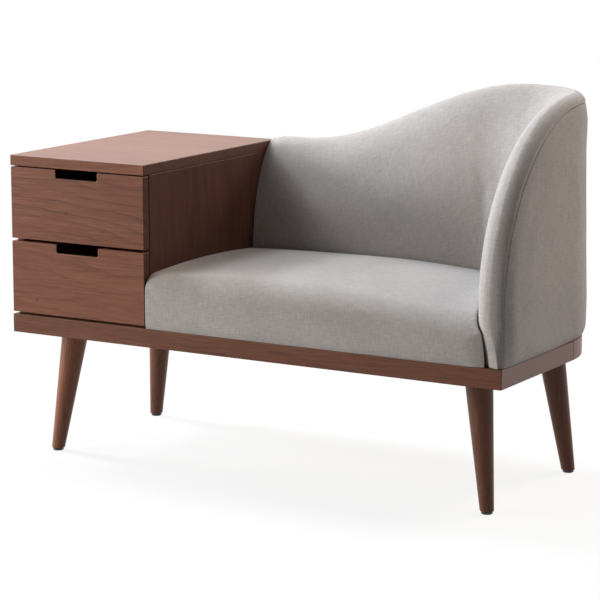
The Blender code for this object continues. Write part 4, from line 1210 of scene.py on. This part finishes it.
def stuff(piece, loose):
    """Lets the loose points (0 sewn, 1 free) swell from START_THIN inside, by MOST_MOVE at most."""
    mesh = piece.data
    pattern = per_point(mesh, "co")
    normals = per_point(mesh, "normal")
    thin = pattern - START_THIN * loose[:, None] * normals
    move = swell(piece, thin, loose) - pattern
    reach = np.linalg.norm(move, axis=1, keepdims=True)
    move = move * np.minimum(reach, MOST_MOVE) / np.maximum(reach, LEAST_MOVE) * loose[:, None]
    put_points(mesh, pattern + move)
    out = (move * normals).sum(axis=1)[loose > 0] * 1000
    print(f"{piece.name}: {out.mean():.1f} mm from its pattern, {out.min():.1f} to {out.max():.1f}")


def upholster(piece, node):
    """Smooths a stuffed piece once and puts it in place of its plain solid."""
    smooth = piece.modifiers.new("smooth", "SUBSURF")
    smooth.levels = 1
    smooth.render_levels = 1
    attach(piece, "bench")
    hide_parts(node)


print("stuffing ready")

# %% [markdown]
# ## Making the three padded pieces
#
# What may swell is given by a number for each point: none at the seams, the foot and wherever the piece
# bears on wood or on its neighbour, and all of it in the open faces. It rises gently between, because a
# sudden step would leave a ridge in the cloth. Pairs say how many rows or columns of the grid are held,
# and over how many more it rises.

# %% Pad, cover and cushion
LOOSE_RUN = 0.030
HEM = 0.012
END_ROWS = (2, 10)
PAD_COLUMNS = (len(ROLL_TURNS) + 12, 9)
COVER_COLUMNS = (7, 7)
CUSHION_COLUMNS = (len(RIM_SHARES), 6)


def strip_looseness(rings, columns, level):
    """Free on the shown half of a strip, off its seam and its ends and above a level."""
    row = np.arange(len(rings))
    column = np.arange(rings.shape[1])
    off_ends = rise(np.minimum(row, row[::-1]), *END_ROWS)[:, None]
    off_seam = rise(column, *columns) * (column < len(column) // 2)
    return (off_seam * rise(rings[..., 2], level + HEM, LOOSE_RUN) * off_ends).ravel()


def cushion_looseness():
    """Free on the top and the front; held beside the cabinet, the arm and the back, and at the hem."""
    rows, columns = seat_top.shape[:2]
    number = np.append(np.arange(rows * columns), np.tile(seat_rim, len(seat_wall)))
    height = np.append(seat_top[..., 2], seat_wall[..., 2])
    row, column = np.divmod(number, columns)
    off_sides = rise(np.minimum(column, columns - 1 - column), *CUSHION_COLUMNS)
    off_back = rise(rows - 1 - row, *CUSHION_COLUMNS)
    underside = np.zeros((rows - 2) * (columns - 2))
    return np.append(off_sides * off_back * rise(height, SEAT_FLOOR + HEM, LOOSE_RUN), underside)


back_pad = ring_strip("upholstered_back", pad_rings, pad_uv, fabric)
stuff(back_pad, strip_looseness(pad_rings, PAD_COLUMNS, SEAT_LEVEL))
upholster(back_pad, "back_pad")
outer_cover = ring_strip("upholstered_outside", cover_rings, cover_uv, fabric)
stuff(outer_cover, strip_looseness(cover_rings, COVER_COLUMNS, SEAT_FLOOR))
upholster(outer_cover, "outer_cover")
seat = cushion("upholstered_seat", seat_top, seat_rim, seat_wall, fabric)
stuff(seat, cushion_looseness())
upholster(seat, "seat_cushion")

# %% [markdown]
# ## Top stitching
#
# Beside the outer seam runs a row of stitches that holds the seam allowance down. A bump in the material
# would be lost at this scale, so each stitch is a small spindle, and the whole row is one mesh: the same
# spindle repeated along a line on the settled pad.

# %% Top stitching
STITCH_OFFSET = 0.0065
STITCH_PITCH = 0.0050
STITCH_LENGTH = 0.0038
STITCH_RADIUS = 0.00042
STITCH_TURNS = 6
STITCH_RINGS = 5
STITCH_TIP = 0.04
HEXAGON = np.array([[0, 3, 2, 1], [0, 5, 4, 3]])
ASKEW = np.array([0.37, -0.81, 0.45])


def line_at_distance(rows, distance):
    """Points at one distance along each row of points, measured from the row's first point."""
    passed = line_lengths(rows)
    before = np.clip((passed < distance).sum(axis=1) - 1, 0, rows.shape[1] - 2)
    row = np.arange(len(rows))
    share = (distance - passed[row, before]) / (passed[row, before + 1] - passed[row, before])
    return blend(rows[row, before], rows[row, before + 1], share[:, None])


def points_at(line, at):
    """Points of a line at given lengths along it."""
    return np.column_stack([np.interp(at, line_lengths(line), part) for part in line.T])


def unit(vectors):
    """Vectors divided by their lengths."""
    return vectors / np.linalg.norm(vectors, axis=1, keepdims=True)


def stitches(name, line, pitch, material):
    """Spindles along a line: rings of a half ellipse round the line's direction, tapered at both ends."""
    at = np.arange(pitch, line_lengths(line)[-1] - pitch, pitch)
    centre = points_at(line, at)
    ahead = unit(points_at(line, at + pitch / 2) - centre)
    aside = unit(np.cross(ahead, ASKEW))
    third = np.cross(ahead, aside)
    reach = np.linspace(-1, 1, STITCH_RINGS)
    radius = STITCH_RADIUS * np.sqrt(np.maximum(1 - reach**2, STITCH_TIP))
    angle = np.arange(STITCH_TURNS)[:, None] * 2 * math.pi / STITCH_TURNS
    turned = np.cos(angle) * aside[:, None] + np.sin(angle) * third[:, None]
    run = (reach * STITCH_LENGTH / 2)[:, None, None] * ahead[:, None, None]
    points = (centre[:, None, None] + run + radius[:, None, None] * turned[:, None]).reshape(-1, 3)
    count = STITCH_RINGS * STITCH_TURNS
    ends = [HEXAGON, count - STITCH_TURNS + HEXAGON[:, ::-1]]
    quads = np.vstack([grid_quads(STITCH_RINGS, STITCH_TURNS, True), *ends])
    quads = (np.arange(len(at))[:, None, None] * count + quads).reshape(-1, 4)
    piece = new_piece(name, points, quads, points[:, [0, 2]], material)
    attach(piece, "bench")
    print(name, len(at), "stitches")


settled_pad = (per_point(back_pad.data, "co") - ORIGIN).reshape(pad_rings.shape)
edge_rows = settled_pad[:, 1 : len(ROLL_TURNS) + len(PAD_NEAR)]
stitches("top_stitching", line_at_distance(edge_rows, STITCH_OFFSET), STITCH_PITCH, fabric)

# %% [markdown]
# ## Size
#
# The upholstery stands a few millimetres proud of the plain solids; how far, along each axis, is printed.

# %% Sizes
shown_low, shown_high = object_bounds()
grown = [round(max(b - a, 0.0) * 1000, 2) for a, b in zip(cad_high, shown_high)]
print("stands proud by", grown, "mm")
